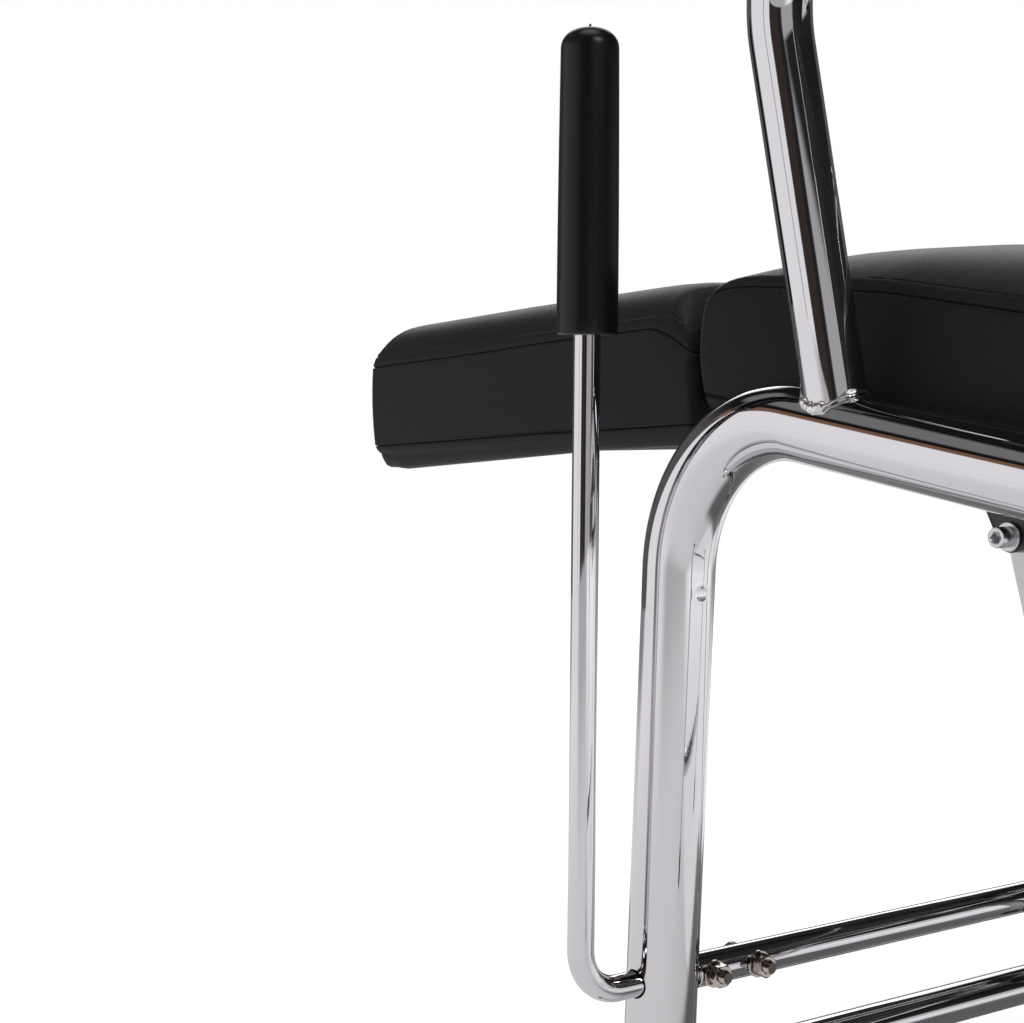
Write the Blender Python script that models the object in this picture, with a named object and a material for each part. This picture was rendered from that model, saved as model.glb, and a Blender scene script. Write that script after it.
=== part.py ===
"""Reclining shampoo chair on a bent chrome tube frame, with a hand lever at the sitter's left.

Metres, +Z up, the front faces -Y and the sitter's left is +X. The origin lies on the floor, in the middle of
the chair. Side-view places are given as (rearward, upward) distances from the lever's pivot.

The lever turns a cross tube between the front legs. A crank in its middle pulls a drag link, which swings a
bar that hangs below the seat. Two more links carry that swing to the leg rest and to the backrest.
"""

import math

import bmesh
import bpy
from mathutils import Matrix, Vector

# Fits
SEAT_FIT = 0.0003
RUNNING_FIT = 0.0005
SIDE_PLAY = 0.0005

# Where the chair stands
PIVOT_HEIGHT = 0.140
PIVOT_AHEAD_OF_ORIGIN = 0.3053

# Seat, measured along the rail and square to it
SEAT_SIDE_GAP = 0.006
SEAT_DEPTH = 0.455
SEAT_BOTTOM = -0.010
SEAT_TOP_EDGE = 0.060
SEAT_NOSE = 0.105
SEAT_NOSE_DROP = 0.0085
SEAT_NOSE_BEND = 0.120
SEAT_FRONT_ROLL = 0.029
SEAT_EDGE = 0.010
SEAT_CROWN = 0.0285
SEAT_SWELL = 0.033
SEAT_DOME = 1.8
BOARD_THICKNESS = 0.012
BOARD_INSET = 0.016

# Side frames
LEG_SPACING = 0.520
FRAME_TUBE = 0.032
FRAME_WALL = 0.0015
FRAME_BEND = 0.068
FRONT_LEG_RAKE = 2.84
REAR_LEG_RAKE = 8.0
RAIL_SLOPE = 8.31
RAIL_RISE = 0.2616
REAR_LEG_BEHIND_SEAT = 0.045
REAR_CORNER_BACK = SEAT_DEPTH + REAR_LEG_BEHIND_SEAT

# Feet
FOOT_WALL = 0.0025
FOOT_SOLE = 0.008
FOOT_RIM = 0.030

# Arms
ARM_TUBE = 0.0254
ARM_WALL = 0.0015
ARM_BEND = 0.070
ARM_FRONT_BACK = 0.107
ARM_REAR_INSET = 0.025
ARM_REAR_BACK = SEAT_DEPTH - ARM_REAR_INSET
ARM_CORNER_BACK = SEAT_DEPTH
ARM_RISE = 0.470
ARM_OUT_LEAN = 8.0
ARM_FORWARD_LEAN = 5.0
ARM_PAD_LENGTH = 0.215
ARM_PAD_WIDTH = 0.062
ARM_PAD_THICKNESS = 0.022
ARM_PAD_CROWN = 0.004
ARM_PAD_EDGE = 0.008
ARM_PAD_SWELL = 0.010
ARM_PAD_DOME = 6.0
ARM_PAD_ROUNDING = 0.4

# Cross bars
STRETCHER_TUBE = 0.0194
STRETCHER_WALL = 0.0015
STRETCHER_DROP = 0.048
SEAT_BAR_WIDTH = 0.030
SEAT_BAR_THICKNESS = 0.004
FRONT_SEAT_BAR_BACK = 0.110
SEAT_BAR_INSET = 0.040
REAR_SEAT_BAR_BACK = SEAT_DEPTH - SEAT_BAR_INSET

# Leg rest
LEG_REST_GAP = 0.002
LEG_REST_LENGTH = 0.291
LEG_REST_DROOP = 3.3
LEG_REST_DROP = 0.0225
LEG_REST_THICKNESS = 0.058
LEG_REST_CROWN = 0.0195
LEG_REST_SWELL = 0.010
LEG_REST_DOME = 8.0
LEG_REST_ROLL = 0.014
LEG_HINGE_AHEAD = 0.014
LEG_HINGE_BELOW = 0.0143
LEG_HINGE_INSET = 0.024
LEG_LUG_REACH = 0.030
LEG_BRACKET_REACH = 0.085
LEG_BRACKET_FOOT = 0.030
LEG_BRACKET_DEPTH = 0.007
LEG_BRACKET_WAIST = 0.004
STRAP_EDGE = 0.0045

# Backrest, measured from its hinge
BACK_HINGE_BEHIND_SEAT = 0.080
BACK_HINGE_BACK = SEAT_DEPTH + BACK_HINGE_BEHIND_SEAT
BACK_HINGE_UP = 0.175
BACK_RECLINE = 46.0
BACK_START = 0.030
BACK_LENGTH = 0.500
BACK_BEHIND = 0.015
BACK_THICKNESS = 0.070
BACK_CROWN = 0.022
BACK_SWELL = 0.035
BACK_DOME = 3.0
BACK_ROLL = 0.026
BACK_STRAP_INSET = 0.024
BACK_STRAP_REACH = 0.170
BACK_BRACKET_REACH = 0.055

# Hand lever
LEVER_ROD = 0.0117
LEVER_OFFSET = 0.0457
LEVER_BEND = 0.020
LEVER_HOLE = 0.0130
LEVER_INSIDE = 0.064
LEVER_LEAN = 0.42
GRIP_BOTTOM = 0.2855
GRIP_TOP = 0.4158
GRIP_WIDE = 0.0268
GRIP_NARROW = 0.0252
GRIP_DOME = 0.0083
GRIP_NIB = 0.0012
GRIP_NIB_WIDTH = 0.0012
GRIP_DEPTH = 0.105
GRIP_LIP = 0.0015
GRIP_DOME_STEPS = 6

# Cross tube, with the bolts that hold the lever in it
CROSS_TUBE = 0.0156
CROSS_TUBE_END_GAP = 0.001
LEVER_BOLT = 0.006
LEVER_BOLT_FIRST = 0.0235
LEVER_BOLT_SECOND = 0.0500
BOLT_HEAD_HEIGHT = 0.004
BOLT_HEAD_FLATS = 0.010
NUT_HEIGHT = 0.005
NUT_FLATS = 0.010
WASHER_WIDTH = 0.0125
WASHER_THICKNESS = 0.0014
BOLT_PROUD = 0.003
BOLT_CHAMFER = 0.0006

# Swing that hangs under the seat
HANGER_PIVOT_BACK = 0.1784
HANGER_PIVOT_UP = 0.2086
SWING_RADIUS = 0.030
SWING_REST_ANGLE = 22.0
SWING_BAR = 0.010
PLATE = 0.004
PIVOT_SCREW = 0.005
PIVOT_HEAD = 0.0078
PIVOT_HEAD_HEIGHT = 0.006
PIVOT_KEY_FLATS = 0.004
PIVOT_KEY_DEPTH = 0.003
PIVOT_WASHER_WIDTH = 0.011
PIVOT_NUT_FLATS = 0.008
PIVOT_HEAD_CHAMFER = 0.0005
HANGER_EYE = 0.0065
HANGER_BRACKET_PLATE = 0.005
HANGER_BRACKET_EYE = 0.006
HANGER_BRACKET_AHEAD = 0.018
HANGER_BRACKET_BEHIND = 0.062
HANGER_BRACKET_HEEL_BACK = 0.030
HANGER_BRACKET_HEEL_DROP = 0.015
HANGER_BRACKET_HEEL = 0.006
PLATE_CORNER = 0.0048

# Links under the seat
LINK_PLATE = 0.005
LINK_EYE_WALL = 0.004
LINK_WAIST = 0.0055
LINK_PIN = 0.008
LEVER_TRAVEL = 60.0
BACK_TRAVEL = 25.0
BACK_HORN_RADIUS = 0.0696
BACK_HORN_ANGLE = 39.5
BACK_LINK_PLAY = 0.0018
CRANK_THICKNESS = 0.006
LEG_LINK_FROM_CRANK = -0.0145
BACK_LINK_FROM_CRANK = 0.0122

# Facets
ROUND = 20
FINE = 12
BEND_STEPS = 8


def side_view(back, up):
    """World Y and Z of a place given from the lever's pivot."""
    return Vector((0.0, back - PIVOT_AHEAD_OF_ORIGIN, up + PIVOT_HEIGHT))


def at(x, back, up):
    return Vector((x, 0.0, 0.0)) + side_view(back, up)


def turned(angle):
    """Unit (rearward, upward) vector that points straight down at 0 degrees and rearward at 90."""
    return math.sin(math.radians(angle)), -math.cos(math.radians(angle))


class SideFrame:
    """A slanted side-view frame: distances along a pad and square to it, turned into places."""

    def __init__(self, start, along, square):
        self.start = start
        self.along = along
        self.square = square

    def place(self, along, square):
        back = self.start[0] + along * self.along[0] + square * self.square[0]
        up = self.start[1] + along * self.along[1] + square * self.square[1]
        return back, up


def slope_frame(start, degrees):
    """Frame along a line that runs rearward and falls by the given angle."""
    c, s = math.cos(math.radians(degrees)), math.sin(math.radians(degrees))
    return SideFrame(start, (c, -s), (s, c))


def forward_frame(start, degrees):
    """Frame along a line that runs forward and falls by the given angle."""
    c, s = math.cos(math.radians(degrees)), math.sin(math.radians(degrees))
    return SideFrame(start, (-c, -s), (-s, c))


def reclined_frame(start, degrees):
    """Frame up a backrest that leans rearward by the given angle, with its front as the square side."""
    c, s = math.cos(math.radians(degrees)), math.sin(math.radians(degrees))
    return SideFrame(start, (s, c), (-c, s))


# Materials

def material(name, colour, roughness, metallic):
    made = bpy.data.materials.new(name)
    made.use_nodes = True
    shader = made.node_tree.nodes["Principled BSDF"]
    shader.inputs["Base Color"].default_value = (*colour, 1.0)
    shader.inputs["Roughness"].default_value = roughness
    shader.inputs["Metallic"].default_value = metallic
    return made


def make_materials():
    return {
        "chrome": material("chrome", (0.78, 0.78, 0.79), 0.05, 1.0),
        "vinyl": material("vinyl", (0.016, 0.016, 0.018), 0.42, 0.0),
        "grip": material("grip", (0.014, 0.014, 0.015), 0.62, 0.0),
        "pad": material("pad", (0.018, 0.018, 0.019), 0.50, 0.0),
        "black_steel": material("black_steel", (0.022, 0.022, 0.024), 0.45, 0.0),
        "grey_steel": material("grey_steel", (0.55, 0.55, 0.57), 0.38, 1.0),
        "zinc": material("zinc", (0.62, 0.63, 0.65), 0.28, 1.0),
        "wood": material("wood", (0.45, 0.31, 0.19), 0.70, 0.0),
        "foot": material("foot", (0.020, 0.020, 0.021), 0.65, 0.0),
    }


# Meshes

def finish(name, mesh_data, finish_name, materials, pivot=None, smooth=32.0):
    """Named object from a bmesh in world space, with its origin on its joint's axis."""
    bmesh.ops.recalc_face_normals(mesh_data, faces=mesh_data.faces)
    mesh = bpy.data.meshes.new(name)
    mesh_data.to_mesh(mesh)
    mesh_data.free()
    obj = bpy.data.objects.new(name, mesh)
    bpy.context.scene.collection.objects.link(obj)
    if pivot is not None:
        mesh.transform(Matrix.Translation(-pivot))
        obj.location = pivot
    if finish_name is not None:
        mesh.materials.append(materials[finish_name])
    mesh.shade_smooth()
    mesh.set_sharp_from_angle(angle=math.radians(smooth))
    return obj


def cutter(name, mesh_data):
    """A guide that only cuts other pieces."""
    obj = finish(name, mesh_data, None, None)
    obj.hide_render = True
    obj.display_type = "WIRE"
    return obj


def cut(obj, tool):
    modifier = obj.modifiers.new("cut " + tool.name, "BOOLEAN")
    modifier.operation = "DIFFERENCE"
    modifier.solver = "EXACT"
    modifier.object = tool


def bridge(mesh_data, first, second, closed=True):
    count = len(first)
    for i in range(count if closed else count - 1):
        j = (i + 1) % count
        mesh_data.faces.new((first[i], first[j], second[j], second[i]))


def rounded_path(corners, radius, steps=BEND_STEPS):
    """The corners joined by straight runs, each inner corner replaced by an arc of the bend's radius."""
    points = [corners[0]]
    for before, corner, after in zip(corners, corners[1:], corners[2:]):
        arriving = (corner - before).normalized()
        leaving = (after - corner).normalized()
        turn = arriving.angle(leaving)
        reach = radius * math.tan(turn / 2)
        normal = (leaving - arriving * arriving.dot(leaving)).normalized()
        start = corner - arriving * reach
        centre = start + normal * radius
        for step in range(steps + 1):
            angle = turn * step / steps
            points.append(centre - normal * radius * math.cos(angle) + arriving * radius * math.sin(angle))
    points.append(corners[-1])
    return points


def tangents(points):
    found = [(points[1] - points[0]).normalized()]
    for before, after in zip(points, points[2:]):
        found.append((after - before).normalized())
    found.append((points[-1] - points[-2]).normalized())
    for i in range(1, len(points) - 1):
        arriving = (points[i] - points[i - 1]).normalized()
        leaving = (points[i + 1] - points[i]).normalized()
        found[i] = (arriving + leaving).normalized()
    return found


def sweep(points, radius, wall=0.0, segments=ROUND):
    """A round bar along the points, or a tube open at both ends if it has a wall."""
    mesh_data = bmesh.new()
    directions = tangents(points)
    normal = directions[0].orthogonal().normalized()
    outer = []
    inner = []
    for i, (point, direction) in enumerate(zip(points, directions)):
        if i:
            normal = directions[i - 1].rotation_difference(direction) @ normal
        side = direction.cross(normal)
        rings = [outer] if not wall else [outer, inner]
        for rows, size in zip(rings, (radius, radius - wall)):
            ring = []
            for k in range(segments):
                angle = 2 * math.pi * k / segments
                offset = normal * math.cos(angle) + side * math.sin(angle)
                ring.append(mesh_data.verts.new(point + offset * size))
            rows.append(ring)
    for rows in (outer, inner):
        for first, second in zip(rows, rows[1:]):
            bridge(mesh_data, first, second)
    if wall:
        bridge(mesh_data, outer[0], inner[0])
        bridge(mesh_data, outer[-1], inner[-1])
    else:
        mesh_data.faces.new(outer[0])
        mesh_data.faces.new(outer[-1])
    return mesh_data


def hex_radius(flats, angle):
    """Distance from the middle of a hexagon to its edge in the given direction."""
    within = (angle + math.pi / 6) % (math.pi / 3) - math.pi / 6
    return flats / 2 / math.cos(within)


def turn(profile, start, axis, segments=FINE, ring=False):
    """A turned piece: (along, size, shape) points spun about the axis, sized as a diameter or across flats.

    A point of size 0 lies on the axis. With ring set, the profile is a closed loop that clears the axis.
    """
    mesh_data = bmesh.new()
    axis = axis.normalized()
    normal = axis.orthogonal().normalized()
    side = axis.cross(normal)
    rows = []
    for along, size, shape in profile:
        centre = start + axis * along
        if size == 0:
            rows.append([mesh_data.verts.new(centre)])
            continue
        row = []
        for k in range(segments):
            angle = 2 * math.pi * k / segments
            radius = hex_radius(size, angle) if shape == "hex" else size / 2
            offset = normal * math.cos(angle) + side * math.sin(angle)
            row.append(mesh_data.verts.new(centre + offset * radius))
        rows.append(row)
    pairs = list(zip(rows, rows[1:]))
    if ring:
        pairs.append((rows[-1], rows[0]))
    for first, second in pairs:
        if len(first) == 1 or len(second) == 1:
            tip, row = (first[0], second) if len(first) == 1 else (second[0], first)
            for k in range(segments):
                mesh_data.faces.new((tip, row[k], row[(k + 1) % segments]))
        else:
            bridge(mesh_data, first, second)
    return mesh_data


def convex_outline(circles, steps=24):
    """Outline of a band stretched round the circles, each given as (place, radius) in the side view."""
    points = set()
    for (back, up), radius in circles:
        for k in range(steps):
            angle = 2 * math.pi * k / steps
            points.add((back + radius * math.cos(angle), up + radius * math.sin(angle)))
    ordered = sorted(points)

    def half(sequence):
        chain = []
        for point in sequence:
            while len(chain) > 1 and cross(chain[-2], chain[-1], point) <= 0:
                chain.pop()
            chain.append(point)
        return chain[:-1]

    def cross(a, b, c):
        return (b[0] - a[0]) * (c[1] - a[1]) - (b[1] - a[1]) * (c[0] - a[0])

    return half(ordered) + half(reversed(ordered))


def circle(place, radius, segments=FINE):
    """Hole outline that lies outside the true circle, so that its flats keep the fit."""
    size = radius / math.cos(math.pi / segments)
    points = []
    for k in range(segments):
        angle = 2 * math.pi * k / segments
        points.append((place[0] + size * math.cos(angle), place[1] + size * math.sin(angle)))
    return points


def plate(outline, holes, x_from, x_to):
    """A flat plate in the side view, from one X to another, with holes through it."""
    mesh_data = bmesh.new()
    edges = []
    for loop in [outline, *holes]:
        ring = [mesh_data.verts.new(at(x_from, back, up)) for back, up in loop]
        for i, vertex in enumerate(ring):
            edges.append(mesh_data.edges.new((vertex, ring[(i + 1) % len(ring)])))
    bmesh.ops.triangle_fill(mesh_data, use_beauty=True, edges=edges)
    extruded = bmesh.ops.extrude_face_region(mesh_data, geom=list(mesh_data.faces))
    moved = [item for item in extruded["geom"] if isinstance(item, bmesh.types.BMVert)]
    bmesh.ops.translate(mesh_data, verts=moved, vec=Vector((x_to - x_from, 0.0, 0.0)))
    return mesh_data


def slab(frame, along, square, half_width):
    """A flat board in a slanted frame, between two distances each way."""
    outline = [frame.place(a, n) for a, n in (
        (along[0], square[0]), (along[1], square[0]), (along[1], square[1]), (along[0], square[1]))]
    return plate(outline, [], -half_width, half_width)


def pin(place, radius, x_from, x_to):
    """A round pin along X with a thin head at its far end."""
    direction = Vector((math.copysign(1.0, x_to - x_from), 0.0, 0.0))
    length = abs(x_to - x_from)
    head = radius * 0.4
    profile = [(0.0, 0.0, ""), (0.0, radius * 2, ""), (length - head, radius * 2, ""),
               (length - head, radius * 2.8, ""), (length, radius * 2.8, ""), (length, 0.0, "")]
    return turn(profile, at(x_from, *place), direction)


def add_to(mesh_piece, other):
    """Join another closed shape into a piece with a union."""
    modifier = mesh_piece.modifiers.new("join " + other.name, "BOOLEAN")
    modifier.operation = "UNION"
    modifier.solver = "EXACT"
    modifier.object = other


# Pads

def rounded_outline(corners, radii, steps=5, longest=0.055):
    """Four-cornered outline with round corners, its long edges split so that they can rise to a crown."""
    points = []
    count = len(corners)
    for i in range(count):
        corner = Vector(corners[i])
        arriving = (corner - Vector(corners[i - 1])).normalized()
        leaving = (Vector(corners[(i + 1) % count]) - corner).normalized()
        turn_angle = arriving.angle(leaving)
        reach = radii[i] * math.tan(turn_angle / 2)
        normal = (leaving - arriving * arriving.dot(leaving)).normalized()
        start = corner - arriving * reach
        centre = start + normal * radii[i]
        for step in range(steps + 1):
            angle = turn_angle * step / steps
            offset = arriving * math.sin(angle) - normal * math.cos(angle)
            points.append(centre + offset * radii[i])
    split = []
    for i, point in enumerate(points):
        following = points[(i + 1) % len(points)]
        parts = max(1, math.ceil((following - point).length / longest))
        for part in range(parts):
            split.append(point.lerp(following, part / parts))
    return split


class Stuffing:
    """How a pad's upper face rises: its height, how soon it gets there from a side, and how flat it stays."""

    def __init__(self, crown, swell, dome):
        self.crown = crown
        self.swell = swell
        self.dome = dome

    def rise(self, from_side, reach):
        return self.crown * (1 - math.exp(-from_side / self.swell)) * (1 - abs(reach) ** self.dome)


def pad_shape(frame, corners, radii, half_width, stuffing, plan_radius, stations=15):
    """A stuffed pad: a rounded side outline carried across X.

    The upper face rises to a crown, falls to the sewn edge at both sides and at both ends, and the ends draw
    in near the sides.
    """
    outline = rounded_outline(corners, radii)
    low = min(point[1] for point in outline)
    high = max(point[1] for point in outline)
    start = min(point[0] for point in outline)
    end = max(point[0] for point in outline)
    middle = (start + end) / 2
    half_length = (end - start) / 2
    mesh_data = bmesh.new()
    rows = []
    for i in range(stations):
        across = math.sin(math.pi * (i / (stations - 1) - 0.5))
        x = half_width * across
        beyond = max(0.0, abs(x) - (half_width - plan_radius))
        draw_in = plan_radius - math.sqrt(max(0.0, plan_radius ** 2 - beyond ** 2))
        row = []
        for along, square in outline:
            reach = (along - middle) / half_length
            lift = max(0.0, (square - low) / (high - low) - 0.5) * 2
            rise = stuffing.rise(half_width - abs(x), reach) * lift
            place = frame.place(middle + (along - middle) * (1 - draw_in / half_length), square + rise)
            row.append(mesh_data.verts.new(at(x, *place)))
        rows.append(row)
    for first, second in zip(rows, rows[1:]):
        bridge(mesh_data, first, second)
    mesh_data.faces.new(rows[0])
    mesh_data.faces.new(rows[-1])
    return mesh_data


# Places that several pieces share

HALF = LEG_SPACING / 2
FRAME_RADIUS = FRAME_TUBE / 2
INNER_FACE = HALF - FRAME_RADIUS
SEAT_HALF_WIDTH = INNER_FACE - SEAT_SIDE_GAP
BOARD_HALF_WIDTH = SEAT_HALF_WIDTH - BOARD_INSET
LEG_HINGE_FROM_MIDDLE = SEAT_HALF_WIDTH - LEG_HINGE_INSET
BACK_STRAP_FROM_MIDDLE = SEAT_HALF_WIDTH - BACK_STRAP_INSET
RAIL = slope_frame((0.0, RAIL_RISE), RAIL_SLOPE)


def sides():
    """Both sides of the chair: a name, and which way X points outwards there."""
    return ("left", 1.0), ("right", -1.0)


def rail_up(back):
    """Height of the rail's axis at a distance behind the pivot."""
    return RAIL_RISE - back * math.tan(math.radians(RAIL_SLOPE))


def front_leg_back(up):
    return up * math.tan(math.radians(FRONT_LEG_RAKE))


def rear_leg_back(up):
    return REAR_CORNER_BACK + (rail_up(REAR_CORNER_BACK) - up) * math.tan(math.radians(REAR_LEG_RAKE))


def front_corner():
    lean = math.tan(math.radians(FRONT_LEG_RAKE))
    up = RAIL_RISE / (1 + lean * math.tan(math.radians(RAIL_SLOPE)))
    return up * lean, up


SWING_ARM = tuple(SWING_RADIUS * part for part in turned(SWING_REST_ANGLE))
HANGER_PIVOT = (HANGER_PIVOT_BACK, HANGER_PIVOT_UP)
SWING_BAR_PLACE = (HANGER_PIVOT[0] + SWING_ARM[0], HANGER_PIVOT[1] + SWING_ARM[1])
CRANK_PIN_PLACE = SWING_ARM
SEAT_FRONT_LEAN = math.tan(math.radians(RAIL_SLOPE))
LEG_REST = forward_frame((-LEG_REST_GAP, RAIL_RISE - LEG_REST_DROP), LEG_REST_DROOP)
LEG_HINGE = LEG_REST.place(LEG_HINGE_AHEAD, -LEG_HINGE_BELOW)
LEG_HORN_PIN = (LEG_HINGE[0] + SWING_ARM[0], LEG_HINGE[1] + SWING_ARM[1])
BACK_HINGE = (BACK_HINGE_BACK, BACK_HINGE_UP)
BACKREST = reclined_frame(BACK_HINGE, BACK_RECLINE)
BACK_HORN_ARM = tuple(BACK_HORN_RADIUS * part for part in turned(BACK_HORN_ANGLE))
BACK_HORN_PIN = (BACK_HINGE[0] + BACK_HORN_ARM[0], BACK_HINGE[1] + BACK_HORN_ARM[1])
LINK_EYE = SWING_BAR / 2 + RUNNING_FIT


def back_link_eye():
    """Middle of the back link's wide eye: halfway between its places at rest and at half travel.

    The swing and the back horn turn by different angles, so the eye drifts a little round the swing bar.
    """
    half_swing = turned(SWING_REST_ANGLE + LEVER_TRAVEL / 2)
    half_horn = turned(BACK_HORN_ANGLE + BACK_TRAVEL / 2)
    drift = []
    for axis in (0, 1):
        bar = SWING_RADIUS * half_swing[axis] - SWING_ARM[axis]
        horn = BACK_HORN_RADIUS * half_horn[axis] - BACK_HORN_ARM[axis]
        drift.append((bar - horn) / 2)
    return SWING_BAR_PLACE[0] + drift[0], SWING_BAR_PLACE[1] + drift[1]


# Frame

def frame_path(x):
    front_foot_up = FOOT_SOLE + SEAT_FIT - PIVOT_HEIGHT
    corners = [
        at(x, front_leg_back(front_foot_up), front_foot_up),
        at(x, *front_corner()),
        at(x, REAR_CORNER_BACK, rail_up(REAR_CORNER_BACK)),
        at(x, rear_leg_back(front_foot_up), front_foot_up),
    ]
    return rounded_path(corners, FRAME_BEND)


def make_side_frames(materials):
    """One bent tube a side: front leg, seat rail, rear leg. Returns the envelopes that cope other tubes."""
    envelopes = {}
    for name, sign in sides():
        path = frame_path(sign * HALF)
        tube = finish(name + "_side_frame", sweep(path, FRAME_RADIUS, FRAME_WALL), "chrome", materials)
        envelopes[name] = cutter(name + "_frame_envelope", sweep(path, FRAME_RADIUS + SEAT_FIT))
        reach = FRAME_TUBE if name == "left" else 0.0
        start = at(sign * (INNER_FACE - FRAME_TUBE), 0.0, 0.0)
        length = FRAME_TUBE + FRAME_RADIUS + reach
        drill = turn([(0.0, 0.0, ""), (0.0, LEVER_HOLE, ""), (length, LEVER_HOLE, ""), (length, 0.0, "")],
                     start, Vector((sign, 0.0, 0.0)), ROUND)
        cut(tube, cutter(name + "_leg_hole", drill))
    return envelopes


def make_feet(materials):
    """Plastic cups on the leg ends, each cut level with the floor."""
    floor = bmesh.new()
    bmesh.ops.create_cube(floor, size=2.0, matrix=Matrix.Translation((0.0, 0.0, -1.0)))
    below_floor = cutter("below_floor", floor)
    outer = FRAME_TUBE + 2 * (SEAT_FIT + FOOT_WALL)
    bore = FRAME_TUBE + 2 * SEAT_FIT
    profile = [(-FOOT_SOLE, 0.0, ""), (-FOOT_SOLE, outer, ""), (FOOT_RIM - FOOT_WALL / 2, outer, ""),
               (FOOT_RIM, outer - FOOT_WALL, ""), (FOOT_RIM, bore, ""), (FOOT_SOLE, bore, ""),
               (FOOT_SOLE, 0.0, "")]
    ends = (("front", -FRONT_LEG_RAKE, front_leg_back), ("rear", REAR_LEG_RAKE, rear_leg_back))
    for end, rake, leg_back in ends:
        lean = math.radians(rake)
        axis = Vector((0.0, -math.sin(lean), math.cos(lean)))
        for name, sign in sides():
            start = at(sign * HALF, leg_back(-PIVOT_HEIGHT), -PIVOT_HEIGHT)
            foot = finish(f"{end}_{name}_foot", turn(profile, start, axis, ROUND), "foot", materials)
            cut(foot, below_floor)


def arm_corners(sign):
    out = math.sin(math.radians(ARM_OUT_LEAN))
    forward = math.sin(math.radians(ARM_FORWARD_LEAN))
    upright = math.sqrt(1 - out ** 2 - forward ** 2)
    base_up = rail_up(ARM_FRONT_BACK)
    length = (ARM_RISE - base_up) / upright
    arm_x = sign * (HALF + out * length)
    return [
        at(sign * HALF, ARM_FRONT_BACK, base_up),
        at(arm_x, ARM_FRONT_BACK - forward * length, ARM_RISE),
        at(arm_x, ARM_CORNER_BACK, ARM_RISE),
        at(sign * HALF, ARM_REAR_BACK, rail_up(ARM_REAR_BACK)),
    ]


def make_arms(materials, envelopes):
    """Arm tubes coped onto the rails, and the moulded pads that straddle them."""
    for name, sign in sides():
        corners = arm_corners(sign)
        path = rounded_path(corners, ARM_BEND)
        tube = finish(name + "_arm_tube", sweep(path, ARM_TUBE / 2, ARM_WALL), "chrome", materials)
        cut(tube, envelopes[name])
        arm_x = corners[1].x
        front = corners[1].y + ARM_BEND * math.tan(math.radians((90 + ARM_FORWARD_LEAN) / 2))
        rear = corners[2].y - ARM_BEND
        start = (front + rear - ARM_PAD_LENGTH) / 2 + PIVOT_AHEAD_OF_ORIGIN
        pad_frame = SideFrame((start, ARM_RISE), (1.0, 0.0), (0.0, 1.0))
        top = ARM_PAD_THICKNESS
        ends = [(0.0, 0.0), (ARM_PAD_LENGTH, 0.0), (ARM_PAD_LENGTH, top), (0.0, top)]
        stuffing = Stuffing(ARM_PAD_CROWN, ARM_PAD_SWELL, ARM_PAD_DOME)
        shape = pad_shape(pad_frame, ends, [ARM_PAD_EDGE / 2] * 2 + [ARM_PAD_EDGE] * 2, ARM_PAD_WIDTH / 2,
                          stuffing, ARM_PAD_WIDTH * ARM_PAD_ROUNDING, 13)
        bmesh.ops.translate(shape, verts=shape.verts, vec=Vector((arm_x, 0.0, 0.0)))
        pad = finish(name + "_arm_pad", shape, "pad", materials)
        cut(pad, cutter(name + "_arm_envelope", sweep(path, ARM_TUBE / 2 + SEAT_FIT)))


def make_cross_bars(materials, envelopes):
    """Stretchers between the legs and flat bars under the seat, coped onto the side frames."""
    for name, leg_back in (("front_stretcher", front_leg_back), ("rear_stretcher", rear_leg_back)):
        place = (leg_back(-STRETCHER_DROP), -STRETCHER_DROP)
        path = [at(-HALF, *place), at(HALF, *place)]
        bar = finish(name, sweep(path, STRETCHER_TUBE / 2, STRETCHER_WALL), "chrome", materials)
        for envelope in envelopes.values():
            cut(bar, envelope)
    top = SEAT_BOTTOM - SEAT_FIT
    for name, back in (("front_seat_bar", FRONT_SEAT_BAR_BACK), ("rear_seat_bar", REAR_SEAT_BAR_BACK)):
        along = (back - SEAT_BAR_WIDTH / 2, back + SEAT_BAR_WIDTH / 2)
        bar = finish(name, slab(RAIL, along, (top - SEAT_BAR_THICKNESS, top), HALF), "black_steel", materials)
        for envelope in envelopes.values():
            cut(bar, envelope)


# Upholstery

def make_pad(name, frame, corners, radii, stuffing, board_along, board_square, materials, pivot, plan_radius):
    """A board let into the back of a stuffed cushion, flush with it."""
    half = BOARD_HALF_WIDTH
    finish(name + "_board", slab(frame, board_along, board_square, half), "wood", materials, pivot)
    shape = pad_shape(frame, corners, radii, SEAT_HALF_WIDTH, stuffing, plan_radius)
    cushion = finish(name + "_cushion", shape, "vinyl", materials, pivot, 50.0)
    along = (board_along[0] - SEAT_FIT, board_along[1] + SEAT_FIT)
    square = (board_square[0] - BOARD_THICKNESS, board_square[1] + SEAT_FIT)
    cut(cushion, cutter(name + "_board_pocket", slab(frame, along, square, half + SEAT_FIT)))


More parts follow.
